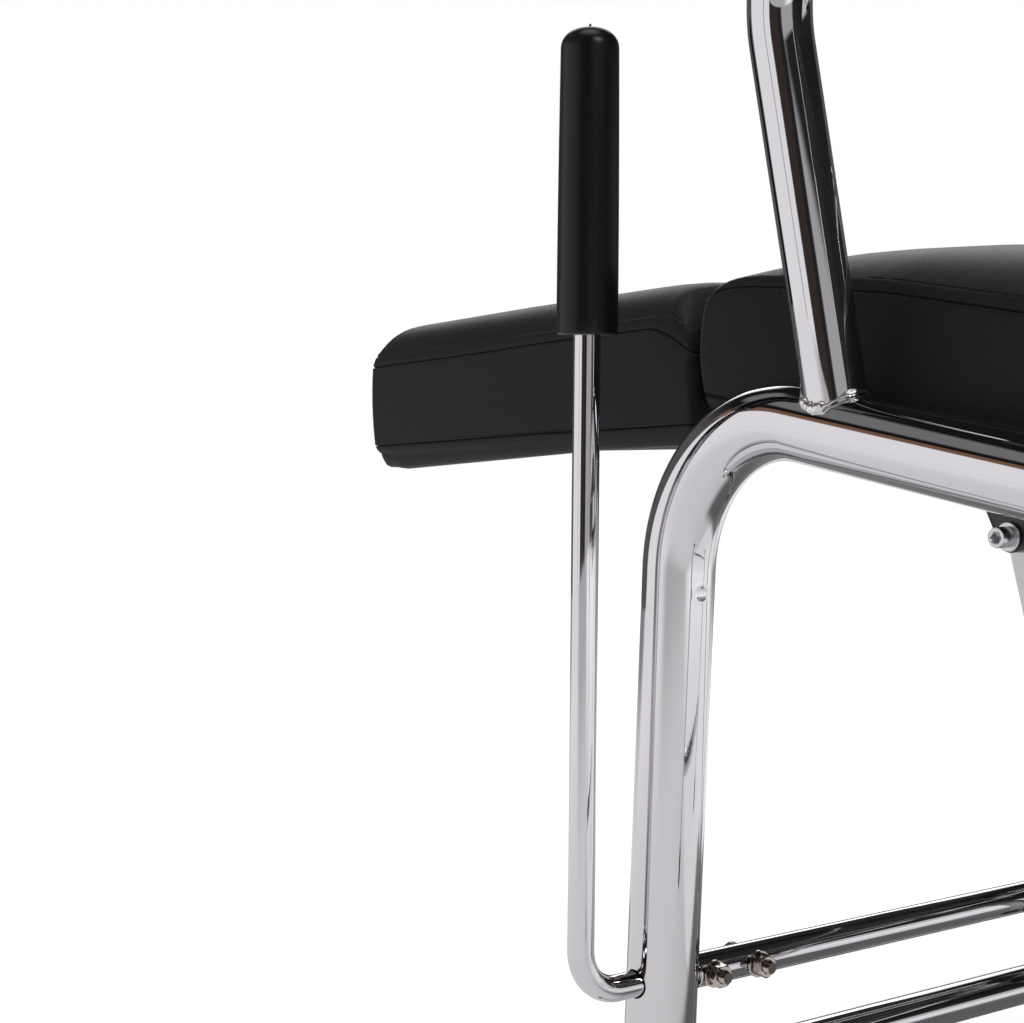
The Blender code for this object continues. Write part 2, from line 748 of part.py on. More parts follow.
def make_seat(materials):
    """Seat on two flat bars. Its front face stands upright though the seat slopes, and its nose droops."""
    nose_top = SEAT_TOP_EDGE - SEAT_NOSE_DROP
    front_bottom = -SEAT_BOTTOM * SEAT_FRONT_LEAN
    front_top = -nose_top * SEAT_FRONT_LEAN
    corners = [(front_bottom, SEAT_BOTTOM), (SEAT_DEPTH, SEAT_BOTTOM), (SEAT_DEPTH, SEAT_TOP_EDGE),
               (SEAT_NOSE, SEAT_TOP_EDGE), (front_top, nose_top)]
    radii = [SEAT_EDGE / 2, SEAT_EDGE / 2, SEAT_EDGE, SEAT_NOSE_BEND, SEAT_FRONT_ROLL]
    make_pad("seat", RAIL, corners, radii, Stuffing(SEAT_CROWN, SEAT_SWELL, SEAT_DOME),
             (BOARD_INSET, SEAT_DEPTH - BOARD_INSET), (SEAT_BOTTOM, SEAT_BOTTOM + BOARD_THICKNESS),
             materials, None, SEAT_EDGE)


def hinge_plate(name, circles, eye, eye_radius, x_from, x_to, finish_name, materials, pivot):
    holes = [circle(eye, eye_radius)] if eye_radius else []
    return finish(name, plate(convex_outline(circles), holes, x_from, x_to), finish_name, materials, pivot)


def elbow_outline(eye_place, eye_radius):
    """Side view of the bracket under the seat's front: a flat foot on the board, an arm down to a round eye.

    It is worked out along the rail and square to it. The arm's two edges leave the eye at its waist and end
    at the foot's upper and lower lines.
    """
    back = eye_place[0] - RAIL.start[0]
    up = eye_place[1] - RAIL.start[1]
    eye = Vector((back * RAIL.along[0] + up * RAIL.along[1], back * RAIL.square[0] + up * RAIL.square[1]))
    top = SEAT_BOTTOM - SEAT_FIT
    bottom = top - LEG_BRACKET_DEPTH
    arm = (Vector((LEG_BRACKET_FOOT, bottom)) - eye).normalized()
    rearward = Vector((arm.y, -arm.x))

    def edge_at(side, square):
        start = eye + rearward * side
        return start + arm * (square - start.y) / arm.y

    points = [edge_at(-LEG_BRACKET_WAIST, top), Vector((LEG_BRACKET_REACH, top)),
              Vector((LEG_BRACKET_REACH, bottom)), edge_at(LEG_BRACKET_WAIST, bottom)]
    opening = math.asin(LEG_BRACKET_WAIST / eye_radius)
    facing = math.atan2(arm.y, arm.x)
    for k in range(ROUND + 1):
        angle = facing - opening - (2 * math.pi - 2 * opening) * k / ROUND
        points.append(eye + Vector((math.cos(angle), math.sin(angle))) * eye_radius)
    return [RAIL.place(along, square) for along, square in points]


def make_leg_rest(materials):
    """Leg rest hinged on two lugs under the seat's front edge, with a horn that its link pulls."""
    pivot = at(0.0, *LEG_HINGE)
    top = LEG_REST_THICKNESS
    corners = [(0.0, 0.0), (LEG_REST_LENGTH, 0.0), (LEG_REST_LENGTH, top), (0.0, top)]
    radii = [SEAT_EDGE / 2, SEAT_EDGE, LEG_REST_ROLL, SEAT_EDGE]
    make_pad("leg_rest", LEG_REST, corners, radii, Stuffing(LEG_REST_CROWN, LEG_REST_SWELL, LEG_REST_DOME),
             (BOARD_INSET, LEG_REST_LENGTH - BOARD_INSET), (0.0, BOARD_THICKNESS),
             materials, pivot, SEAT_EDGE)

    pin_radius = LINK_PIN / 2
    eye = pin_radius + LINK_EYE_WALL + RUNNING_FIT
    edge = STRAP_EDGE
    lug_bottom = -edge - SEAT_FIT
    lug = [(LEG_HINGE, eye), (LEG_REST.place(BOARD_INSET + edge, lug_bottom), edge),
           (LEG_REST.place(LEG_LUG_REACH, lug_bottom), edge)]
    bracket = elbow_outline(LEG_HINGE, eye)
    for name, sign in sides():
        inner = sign * LEG_HINGE_FROM_MIDDLE
        outer = inner + sign * PLATE
        elbow = plate(bracket, [], inner, outer)
        plate_piece = finish(name + "_leg_hinge_bracket", elbow, "black_steel", materials)
        stud_from = inner + sign * PLATE / 2
        stud_to = inner - sign * (PLATE + 2 * SIDE_PLAY + LINK_PIN * 0.2 + SIDE_PLAY)
        add_to(plate_piece, cutter(name + "_leg_hinge_stud", pin(LEG_HINGE, pin_radius, stud_from, stud_to)))
        lug_outer = inner - sign * SIDE_PLAY
        lug_inner = lug_outer - sign * PLATE
        hinge_plate(name + "_leg_rest_lug", lug, LEG_HINGE, pin_radius + RUNNING_FIT, lug_inner, lug_outer,
                    "black_steel", materials, pivot)

    x_from = LEG_LINK_FROM_CRANK - SIDE_PLAY - PLATE
    x_to = LEG_LINK_FROM_CRANK - SIDE_PLAY
    horn = [(LEG_HORN_PIN, pin_radius + LINK_EYE_WALL),
            (LEG_REST.place(BOARD_INSET + edge, lug_bottom), edge),
            (LEG_REST.place(LEG_LUG_REACH + edge, lug_bottom), edge)]
    horn_piece = hinge_plate("leg_horn", horn, None, 0.0, x_from, x_to, "black_steel", materials, pivot)
    stud_end = x_to + LINK_PLATE + 3 * SIDE_PLAY + LINK_PIN * 0.2
    stud = pin(LEG_HORN_PIN, pin_radius, (x_from + x_to) / 2, stud_end)
    add_to(horn_piece, cutter("leg_horn_stud", stud))


def make_backrest(materials):
    """Backrest on two straps that turn on studs behind the seat rails."""
    pivot = at(0.0, *BACK_HINGE)
    low = BACK_BEHIND
    high = BACK_BEHIND + BACK_THICKNESS
    end = BACK_START + BACK_LENGTH
    corners = [(BACK_START, low), (end, low), (end, high), (BACK_START, high)]
    radii = [SEAT_EDGE / 2, SEAT_EDGE, BACK_ROLL, BACK_ROLL]
    make_pad("back", BACKREST, corners, radii, Stuffing(BACK_CROWN, BACK_SWELL, BACK_DOME),
             (BACK_START + BOARD_INSET, end - BOARD_INSET), (low, low + BOARD_THICKNESS),
             materials, pivot, BACK_ROLL)

    pin_radius = LINK_PIN / 2
    eye = pin_radius + LINK_EYE_WALL + RUNNING_FIT
    edge = STRAP_EDGE
    strap_line = low - SEAT_FIT - edge
    strap = [(BACK_HINGE, eye), (BACKREST.place(BACK_START + BOARD_INSET + edge, strap_line), edge),
             (BACKREST.place(BACK_STRAP_REACH, strap_line), edge)]
    rail_end = RAIL.place(REAR_CORNER_BACK - BACK_BRACKET_REACH, 0.0)
    bracket = [(BACK_HINGE, eye), (rail_end, PLATE_CORNER), (rear_foot_line(), PLATE_CORNER)]
    for name, sign in sides():
        outer = sign * (INNER_FACE - SEAT_FIT)
        inner = outer - sign * PLATE
        piece = hinge_plate(name + "_back_hinge_bracket", bracket, None, 0.0, inner, outer, "black_steel",
                            materials, None)
        strap_outer = sign * (BACK_STRAP_FROM_MIDDLE + PLATE)
        strap_inner = sign * BACK_STRAP_FROM_MIDDLE
        stud_to = strap_inner - sign * (SIDE_PLAY + LINK_PIN * 0.2)
        stud = pin(BACK_HINGE, pin_radius, inner + sign * PLATE / 2, stud_to)
        add_to(piece, cutter(name + "_back_hinge_stud", stud))
        hinge_plate(name + "_back_strap", strap, BACK_HINGE, pin_radius + RUNNING_FIT, strap_inner,
                    strap_outer, "black_steel", materials, pivot)

    x_from = BACK_LINK_FROM_CRANK + LINK_PLATE + SIDE_PLAY
    x_to = x_from + PLATE
    horn = [(BACK_HORN_PIN, pin_radius + LINK_EYE_WALL),
            (BACKREST.place(BACK_START + BOARD_INSET + edge, strap_line), edge),
            (BACKREST.place(BACK_START + 2 * BOARD_INSET + edge, strap_line), edge), (BACK_HINGE, eye)]
    horn_piece = hinge_plate("back_horn", horn, None, 0.0, x_from, x_to, "black_steel", materials, pivot)
    stud_end = BACK_LINK_FROM_CRANK - 2 * SIDE_PLAY - LINK_PIN * 0.2
    stud = pin(BACK_HORN_PIN, pin_radius, (x_from + x_to) / 2, stud_end)
    add_to(horn_piece, cutter("back_horn_stud", stud))


def rear_foot_line():
    """A place on the rear leg's axis, just below its bend, where the back hinge plate is welded."""
    up = rail_up(REAR_CORNER_BACK) - FRAME_BEND
    return rear_leg_back(up), up


# Lever and cross tube

def make_lever(materials):
    """Bent rod through the left leg into the cross tube, its rubber grip, and the stub at the right leg."""
    pivot = at(0.0, 0.0, 0.0)
    rod_end = INNER_FACE - LEVER_INSIDE
    lean = math.radians(LEVER_LEAN)
    upright = Vector((0.0, math.sin(lean), math.cos(lean)))
    corner = at(HALF + LEVER_OFFSET, 0.0, 0.0)
    corners = [at(rod_end, 0.0, 0.0), corner, corner + upright * (GRIP_BOTTOM + GRIP_DEPTH)]
    path = rounded_path(corners, LEVER_BEND)
    rod = finish("lever_rod", sweep(path, LEVER_ROD / 2), "chrome", materials, pivot)

    tube_end = INNER_FACE - CROSS_TUBE_END_GAP
    bore_wall = CROSS_TUBE / 2 - LEVER_ROD / 2 - SEAT_FIT
    path = [at(-tube_end, 0.0, 0.0), at(tube_end, 0.0, 0.0)]
    tube = finish("cross_tube", sweep(path, CROSS_TUBE / 2, bore_wall), "chrome", materials, pivot)

    stub_path = [at(-rod_end, 0.0, 0.0), at(-(HALF - FRAME_WALL), 0.0, 0.0)]
    finish("right_stub_shaft", sweep(stub_path, LEVER_ROD / 2), "chrome", materials, pivot)

    length = GRIP_TOP - GRIP_BOTTOM
    shoulder = length - GRIP_NIB - GRIP_DOME
    bore = LEVER_ROD + 2 * SEAT_FIT
    depth = GRIP_DEPTH + SEAT_FIT
    profile = [(depth, 0.0, ""), (depth, bore, ""), (0.0, bore, ""), (0.0, GRIP_WIDE - 2 * GRIP_LIP, ""),
               (GRIP_LIP, GRIP_WIDE, "")]
    for step in range(GRIP_DOME_STEPS):
        angle = math.radians(90 * step / GRIP_DOME_STEPS)
        profile.append((shoulder + GRIP_DOME * math.sin(angle), GRIP_NARROW * math.cos(angle), ""))
    profile += [(length - GRIP_NIB, GRIP_NIB_WIDTH, ""), (length, GRIP_NIB_WIDTH, ""), (length, 0.0, "")]
    start = corner + upright * GRIP_BOTTOM
    finish("lever_grip", turn(profile, start, upright, ROUND), "grip", materials, pivot, 40.0)

    make_lever_bolts(materials, pivot, (rod, tube))


def make_lever_bolts(materials, pivot, drilled):
    """Two hex bolts through the cross tube and the lever's end, heads at the front and nuts at the rear."""
    rearward = Vector((0.0, 1.0, 0.0))
    face = CROSS_TUBE / 2 + SEAT_FIT
    nut_from = face + WASHER_THICKNESS + SEAT_FIT
    nut_to = nut_from + NUT_HEIGHT
    hole = LEVER_BOLT + 2 * SEAT_FIT
    for name, inward in (("outer", LEVER_BOLT_FIRST), ("inner", LEVER_BOLT_SECOND)):
        start = at(HALF - inward, 0.0, 0.0)
        reach = CROSS_TUBE
        drill = [(-reach, 0.0, ""), (-reach, hole, ""), (reach, hole, ""), (reach, 0.0, "")]
        tool = cutter(name + "_bolt_hole", turn(drill, start, rearward))
        for piece in drilled:
            cut(piece, tool)
        head = -face - BOLT_HEAD_HEIGHT
        end = nut_to + BOLT_PROUD
        bolt = [(head, 0.0, ""), (head, BOLT_HEAD_FLATS * 0.9, ""),
                (head + BOLT_CHAMFER, BOLT_HEAD_FLATS, "hex"), (-face, BOLT_HEAD_FLATS, "hex"),
                (-face, LEVER_BOLT, ""), (end - BOLT_CHAMFER, LEVER_BOLT, ""),
                (end, LEVER_BOLT * 0.75, ""), (end, 0.0, "")]
        finish(name + "_lever_bolt", turn(bolt, start, rearward), "zinc", materials, pivot)
        washer = [(face, hole, ""), (face, WASHER_WIDTH, ""), (face + WASHER_THICKNESS, WASHER_WIDTH, ""),
                  (face + WASHER_THICKNESS, hole, "")]
        finish(name + "_lever_washer", turn(washer, start, rearward, ROUND, True), "zinc", materials, pivot)
        nut = [(nut_from, hole, ""), (nut_from, NUT_FLATS, "hex"), (nut_to - BOLT_CHAMFER, NUT_FLATS, "hex"),
               (nut_to, NUT_FLATS * 0.9, ""), (nut_to, hole, "")]
        finish(name + "_lever_nut", turn(nut, start, rearward, FINE, True), "zinc", materials, pivot)


def make_crank(materials):
    """Crank plate on the middle of the cross tube, with the pin that carries the drag link."""
    pivot = at(0.0, 0.0, 0.0)
    hub = CROSS_TUBE / 2 + SEAT_FIT
    pin_radius = LINK_PIN / 2
    middle = (0.0, 0.0)
    outline = convex_outline([(middle, hub + LINK_EYE_WALL), (CRANK_PIN_PLACE, pin_radius + LINK_EYE_WALL)])
    half = CRANK_THICKNESS / 2
    arm = plate(outline, [circle(middle, hub)], -half, half)
    crank = finish("crank", arm, "black_steel", materials, pivot)
    stud_to = half + LINK_PLATE + 3 * SIDE_PLAY + LINK_PIN * 0.2
    add_to(crank, cutter("crank_stud", pin(CRANK_PIN_PLACE, pin_radius, 0.0, stud_to)))


# Swing and links

def make_swing(materials):
    """Flat hangers on socket screws in black brackets, joined by a bar under the seat."""
    pivot = at(0.0, *HANGER_PIVOT)
    screw_hole = PIVOT_SCREW / 2 + SEAT_FIT
    bar_eye = SWING_BAR / 2 + SEAT_FIT
    hanger = convex_outline([(HANGER_PIVOT, HANGER_EYE), (SWING_BAR_PLACE, bar_eye + LINK_EYE_WALL)])
    rail_along = HANGER_PIVOT_BACK / math.cos(math.radians(RAIL_SLOPE))
    bracket = convex_outline([
        (HANGER_PIVOT, HANGER_BRACKET_EYE),
        (RAIL.place(rail_along - HANGER_BRACKET_AHEAD, 0.0), PLATE_CORNER),
        (RAIL.place(rail_along + HANGER_BRACKET_BEHIND, 0.0), PLATE_CORNER),
        (RAIL.place(rail_along + HANGER_BRACKET_HEEL_BACK, -HANGER_BRACKET_HEEL_DROP), HANGER_BRACKET_HEEL),
    ])
    for name, sign in sides():
        outward = Vector((sign, 0.0, 0.0))
        outer = sign * (INNER_FACE - SEAT_FIT)
        inner = outer - sign * HANGER_BRACKET_PLATE
        finish(name + "_hanger_bracket", plate(bracket, [circle(HANGER_PIVOT, screw_hole)], inner, outer),
               "black_steel", materials)
        hanger_outer = inner - sign * SIDE_PLAY
        hanger_inner = hanger_outer - sign * PLATE
        holes = [circle(HANGER_PIVOT, PIVOT_SCREW / 2 + RUNNING_FIT), circle(SWING_BAR_PLACE, bar_eye)]
        hanger_plate = plate(hanger, holes, hanger_inner, hanger_outer)
        finish(name + "_hanger", hanger_plate, "grey_steel", materials, pivot)

        start = at(outer, *HANGER_PIVOT)
        face = SEAT_FIT
        hole = PIVOT_SCREW + 2 * SEAT_FIT
        seat = face + WASHER_THICKNESS + SEAT_FIT
        washer = [(face, hole, ""), (face, PIVOT_WASHER_WIDTH, ""),
                  (face + WASHER_THICKNESS, PIVOT_WASHER_WIDTH, ""), (face + WASHER_THICKNESS, hole, "")]
        finish(name + "_pivot_washer", turn(washer, start, outward, ROUND, True), "zinc", materials)
        top = seat + PIVOT_HEAD_HEIGHT
        nut_face = -(HANGER_BRACKET_PLATE + PLATE + 2 * SIDE_PLAY)
        nut_back = nut_face - NUT_HEIGHT
        screw_end = nut_back - BOLT_PROUD / 2
        screw = [(top - PIVOT_KEY_DEPTH, 0.0, ""), (top - PIVOT_KEY_DEPTH, PIVOT_KEY_FLATS, "hex"),
                 (top, PIVOT_KEY_FLATS, "hex"), (top, PIVOT_HEAD - 2 * PIVOT_HEAD_CHAMFER, ""),
                 (top - PIVOT_HEAD_CHAMFER, PIVOT_HEAD, ""),
                 (seat, PIVOT_HEAD, ""), (seat, PIVOT_SCREW, ""), (screw_end, PIVOT_SCREW, ""),
                 (screw_end, 0.0, "")]
        finish(name + "_pivot_screw", turn(screw, start, outward), "zinc", materials)
        nut = [(nut_face, hole, ""), (nut_face, PIVOT_NUT_FLATS, "hex"),
               (nut_back, PIVOT_NUT_FLATS, "hex"), (nut_back, hole, "")]
        finish(name + "_pivot_nut", turn(nut, start, outward, FINE, True), "zinc", materials)
    bar_end = INNER_FACE - SEAT_FIT - HANGER_BRACKET_PLATE - SIDE_PLAY
    path = [at(-bar_end, *SWING_BAR_PLACE), at(bar_end, *SWING_BAR_PLACE)]
    finish("swing_bar", sweep(path, SWING_BAR / 2, 0.0, FINE), "grey_steel", materials, pivot)


def link_outline(first, first_radius, second, second_radius):
    """A narrow bar between two round eyes."""
    direction = math.atan2(second[1] - first[1], second[0] - first[0])
    points = []
    eyes = ((first, first_radius, direction), (second, second_radius, direction + math.pi))
    for place, radius, facing in eyes:
        opening = math.asin(LINK_WAIST / radius)
        for k in range(FINE + 1):
            angle = facing + opening + (2 * math.pi - 2 * opening) * k / FINE
            points.append((place[0] + radius * math.cos(angle), place[1] + radius * math.sin(angle)))
    return points


def make_link(name, pinned, pinned_radius, open_end, open_radius, x_from, materials):
    """Flat link: an eye on its pin and an eye round the swing bar."""
    outline = link_outline(pinned, pinned_radius + LINK_EYE_WALL, open_end, open_radius + LINK_EYE_WALL)
    holes = [circle(pinned, pinned_radius), circle(open_end, open_radius)]
    link = plate(outline, holes, x_from, x_from + LINK_PLATE)
    finish(name, link, "grey_steel", materials, at(0.0, *pinned))


def make_links(materials):
    pin_eye = LINK_PIN / 2 + RUNNING_FIT
    make_link("drag_link", CRANK_PIN_PLACE, pin_eye, SWING_BAR_PLACE, LINK_EYE,
              CRANK_THICKNESS / 2 + SIDE_PLAY, materials)
    make_link("leg_link", LEG_HORN_PIN, pin_eye, SWING_BAR_PLACE, LINK_EYE, LEG_LINK_FROM_CRANK, materials)
    make_link("back_link", BACK_HORN_PIN, pin_eye, back_link_eye(), SWING_BAR / 2 + BACK_LINK_PLAY,
              BACK_LINK_FROM_CRANK, materials)


def main():
    for obj in list(bpy.data.objects):
        bpy.data.objects.remove(obj, do_unlink=True)
    materials = make_materials()
    envelopes = make_side_frames(materials)
    make_feet(materials)
    make_arms(materials, envelopes)
    make_cross_bars(materials, envelopes)
    make_seat(materials)
    make_leg_rest(materials)
    make_backrest(materials)
    make_lever(materials)
    make_crank(materials)
    make_swing(materials)
    make_links(materials)


main()
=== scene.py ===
"""Looks of a reclining shampoo chair, dressed over its solids.

Metres, +Z up, the front faces -Y and the sitter's left is +X. Side-view places are (rearward, upward)
distances from the lever's pivot, as in the solids.
"""

import math

import bmesh
import bpy
import numpy as np
from mathutils import Matrix, Vector


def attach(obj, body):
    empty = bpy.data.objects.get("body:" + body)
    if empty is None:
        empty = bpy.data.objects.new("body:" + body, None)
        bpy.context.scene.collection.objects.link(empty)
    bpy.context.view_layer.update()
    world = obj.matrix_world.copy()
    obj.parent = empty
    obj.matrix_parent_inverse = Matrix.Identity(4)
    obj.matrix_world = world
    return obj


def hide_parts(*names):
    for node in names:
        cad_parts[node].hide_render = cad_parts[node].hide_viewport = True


SIDES = (("left", 1.0), ("right", -1.0))

# Fits between pieces
FIT = 0.0003
SIDE_PLAY = 0.0005

# Side frames, feet, arms and stretchers
PIVOT = np.array((0.0, -0.3053, 0.140))
HALF = 0.260
FRAME_RADIUS = 0.016
FRAME_BEND = 0.068
FRONT_LEG_RAKE = 2.84
REAR_LEG_RAKE = 8.0
RAIL_SLOPE = 8.31
RAIL_RISE = 0.2616
REAR_CORNER_BACK = 0.500
INNER_FACE = HALF - FRAME_RADIUS
FOOT_SOLE = 0.008
FOOT_RIM = 0.030
FOOT_RADIUS = 0.0188
ARM_RADIUS = 0.0127
ARM_BEND = 0.070
ARM_FRONT_BACK = 0.107
ARM_REAR_BACK = 0.430
ARM_CORNER_BACK = 0.455
ARM_RISE = 0.470
ARM_OUT_LEAN = 8.0
ARM_FORWARD_LEAN = 5.0
STRETCHER_RADIUS = 0.0097
STRETCHER_DROP = 0.048
BEND_STEP = 0.003
STRAIGHT_STEP = 0.008
COPE_CLEARANCE = 0.002
DENT_PLACE = (0.2600, 0.0246, 0.1748)
DENT_RADIUS = 0.0034
DENT_DEPTH = 0.00030
DENT_SURROUND = 0.012
DENT_FINENESS = 14

# Weld beads: how thick, how far out of the corner, and (angle, half width, share) of their lumps
ARM_WELD = 0.0021
ARM_WELD_LIFT = 0.0014
ARM_WELD_LUMPS = ((-4, 30, 1.0), (74, 11, 0.7))
STRETCHER_WELD = 0.0013
STRETCHER_WELD_LIFT = 0.0003

# Lever, grip and cross tube
LEVER_ROD_RADIUS = 0.00585
LEVER_OFFSET = 0.0457
LEVER_BEND = 0.020
LEVER_HOLE_RADIUS = 0.0065
LEVER_HOLE_START = INNER_FACE - 0.010
LEVER_HOLE_LENGTHS = {1.0: 0.060, -1.0: 0.026}
LEVER_LEAN = math.radians(0.42)
LEVER_UPRIGHT = np.array((0.0, math.sin(LEVER_LEAN), math.cos(LEVER_LEAN)))
ROD_END = INNER_FACE - 0.064
ROD_IN_GRIP = 0.105
STUB_LENGTH = 0.0785
GRIP_BOTTOM = 0.2855
GRIP_TOP = 0.4154
GRIP_WIDE = 0.0131
GRIP_NARROW = 0.0123
GRIP_DOME = 0.0092
GRIP_DOME_POWER = 0.87
GRIP_NIB = 0.0016
GRIP_LIP = 0.0012
GRIP_BARREL = 0.00015
CROSS_TUBE_RADIUS = 0.0078
CROSS_TUBE_END = INNER_FACE - 0.001

# Fasteners: the bolts give (distance inside the leg's axis, turn of the hexagon)
WASHER = 0.0014
NUT_HEIGHT = 0.005
LEVER_BOLTS = {"outer": (0.0235, 0.85), "inner": (0.0500, 0.45)}
LEVER_WASHER_RADIUS = 0.00625
LEVER_WASHER_BORE = 0.0033
LEVER_NUT_FLATS = 0.0097
LEVER_BOLT_RADIUS = 0.0030
LEVER_BOLT_FLATS = 0.010
LEVER_BOLT_HEAD = 0.004
LEVER_BOLT_END = 0.0080
SCREW_RADIUS = 0.0025
SCREW_HEAD = 0.0039
SCREW_HEAD_HEIGHT = 0.006
SCREW_SOCKET = 0.003
SCREW_KEY = 0.004
SCREW_WASHER_RADIUS = 0.0055
SCREW_NUT_FLATS = 0.008
SCREW_PITCH = 0.0008
THREAD_EASE = 0.00005
KNURL = 0.00010

# Hangers and the swing bar
HANGER_PIVOT = (0.1784, 0.2086)
SWING_ARM = (0.030 * math.sin(math.radians(22)), -0.030 * math.cos(math.radians(22)))
SWING_BAR_RADIUS = 0.005
PLATE = 0.004
HANGER_BRACKET_PLATE = 0.005

# Upholstery
PAD_HALF_WIDTH = 0.238
BOARD_INSET = 0.016
BOARD_THICKNESS = 0.012
BOARD_EDGE = 0.0008
LEG_BOARD_LENGTH = 0.291
SEAT_BOTTOM = -0.010
LEG_REST_DROOP = math.radians(3.3)
BACK_LEAN = math.radians(46.0)
SEAM_STITCH = 0.0009
EDGE_STITCH = 0.0006
STITCH_LENGTH = 0.0031
STITCH_GAP = 0.0011
STITCH_SIZE = 0.00028
ARM_PAD_LENGTH = 0.215
ARM_PAD_WIDTH = 0.062
ARM_PAD_LEVELS = ((0.0010, 0.90), (0.0012, 0.97), (0.0028, 0.992), (0.006, 1.0), (0.011, 1.0),
                  (0.0165, 0.985), (0.0195, 0.955), (0.0218, 0.90), (0.0234, 0.80), (0.0246, 0.64),
                  (0.0254, 0.42), (0.0258, 0.2))

# Studio
CAMERA_YAW = math.radians(34.578)
CAMERA_PITCH = math.radians(3.495)
CAMERA_ROLL = math.radians(0.198)
CAMERA_PLACE = (0.777968, 0.631677, 0.258561)
CAMERA_LENS = 65.04
PLAIN_LIGHT = 0.55
LAMP_PLACE = Vector((0.3, -0.2, 2.6))
LAMP_AIM = Vector((0.0, -0.1, 0.4))
LAMP_SIZE = 2.2
LAMP_POWER = 28.0
FLOOR_RADIUS = 3.3
FLOOR_SEGMENTS = 96


def place(x, back, up):
    """A point: the lever's pivot plus (x, rearward, upward) distances."""
    return np.array((x, back, up)) + PIVOT


def unit(vector):
    """A vector divided by its length."""
    vector = np.asarray(vector, float)
    return vector / np.linalg.norm(vector)


def unit_rows(vectors):
    """Each vector of an array divided by its own length."""
    return vectors / np.linalg.norm(vectors, axis=-1, keepdims=True)


def tan(degrees):
    """Tangent of an angle in degrees."""
    return math.tan(math.radians(degrees))


def full_turn(segments):
    """Equal angles round a circle, the first at zero."""
    return np.linspace(0, 2 * math.pi, segments, endpoint=False)


def smooth(low, high, value):
    """Smooth step: t * t * (3 - 2 t), with t the share of the way from low to high, kept within 0 and 1."""
    t = np.clip((value - low) / (high - low), 0.0, 1.0)
    return t * t * (3 - 2 * t)


def wave(value, *terms):
    """Uneven wave: the sum of size * sin(2 pi value / length + phase) over (length, phase, size) terms."""
    return sum(size * np.sin(2 * math.pi * value / length + phase) for length, phase, size in terms)


def rail_up(back):
    """Height of the seat rail's axis: its height over the pivot less the slope times the distance back."""
    return RAIL_RISE - back * tan(RAIL_SLOPE)


def front_leg_back(up):
    """How far back the front leg's axis is: its rake times the height."""
    return up * tan(FRONT_LEG_RAKE)


def rear_leg_back(up):
    """How far back the rear leg's axis is: its corner plus its rake times the distance below it."""
    return REAR_CORNER_BACK + (rail_up(REAR_CORNER_BACK) - up) * tan(REAR_LEG_RAKE)


LEGS = (("front", front_leg_back, FRONT_LEG_RAKE), ("rear", rear_leg_back, -REAR_LEG_RAKE))


# Surfaces

class Shape:
    """Vertices and faces gathered into one mesh."""

    def __init__(self):
        self.points = []
        self.faces = []
        self.count = 0

    def add(self, points):
        """Take in points, and give the number of the first."""
        start = self.count
        self.points.append(np.asarray(points, float).reshape(-1, 3))
        self.count += len(self.points[-1])
        return start

    def quads(self, index):
        """Four-sided faces: each number of a grid with its next ones along, across and both."""
        here, there = index[..., :-1, :], index[..., 1:, :]
        corners = np.stack([here[..., :-1], here[..., 1:], there[..., 1:], there[..., :-1]], axis=-1)
        self.faces.extend(map(tuple, corners.reshape(-1, 4).tolist()))

    def grid(self, rows, loop=False, caps=False):
        """Closed rings of points, each joined to the next; loop joins the last to the first, and caps
        closes both ends with a fan from the ring's mean point."""
        rows = np.asarray(rows, float)
        height, width = rows.shape[:2]
        index = self.add(rows) + np.arange(height * width).reshape(height, width)
        index = np.concatenate([index, index[:, :1]], axis=1)
        if loop:
            index = np.concatenate([index, index[:1]], axis=0)
        self.quads(index)
        if caps:
            for row in (0, height - 1):
                middle = self.add(rows[row].mean(axis=0)[None])
                ring = index[row]
                self.faces.extend((middle, int(a), int(b)) for a, b in zip(ring, ring[1:]))
        return self

    def grids(self, blocks):
        """Many small tubes at once: blocks of closed rings, each joined to the next, with faced ends."""
        number, height, width = blocks.shape[:3]
        index = self.add(blocks) + np.arange(number * height * width).reshape(number, height, width)
        index = np.concatenate([index, index[:, :, :1]], axis=2)
        self.quads(index)
        for row in (0, height - 1):
            self.faces.extend(map(tuple, index[:, row, :-1].tolist()))
        return self

    def mesh(self, name):
        """The points and faces as a mesh."""
        mesh = bpy.data.meshes.new(name)
        mesh.from_pydata(np.concatenate(self.points).tolist(), [], self.faces)
        return mesh

    def make(self, name, look, body, *nodes, sharp=40.0):
        """The finished object, riding on its body and standing for the named solids."""
        return dress(name, self.mesh(name), look, body, nodes, sharp)


def put(name, data):
    """A new object at the origin."""
    obj = bpy.data.objects.new(name, data)
    bpy.context.scene.collection.objects.link(obj)
    return obj


def dress(name, mesh, look, body, nodes, sharp):
    """Merge a mesh's double points, turn its faces outwards, shade it smooth between edges under the sharp
    angle, and give it its look, body and solids."""
    material, slot = looks[look]
    fixed = bmesh.new()
    fixed.from_mesh(mesh)
    bmesh.ops.remove_doubles(fixed, verts=fixed.verts, dist=1e-7)
    bmesh.ops.recalc_face_normals(fixed, faces=fixed.faces)
    fixed.to_mesh(mesh)
    fixed.free()
    mesh.shade_smooth()
    mesh.set_sharp_from_angle(angle=math.radians(sharp))
    mesh.materials.append(material)
    obj = put(name, mesh)
    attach(obj, body)
    if nodes:
        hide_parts(*nodes)
    return obj


def line(start, end, step):
    """Points at equal shares of the way from start to end, about a step apart, with their direction."""
    count = max(1, math.ceil(np.linalg.norm(end - start) / step))
    fractions = np.linspace(0, 1, count + 1)[:, None]
    return start + (end - start) * fractions, np.repeat(unit(end - start)[None], count + 1, axis=0)


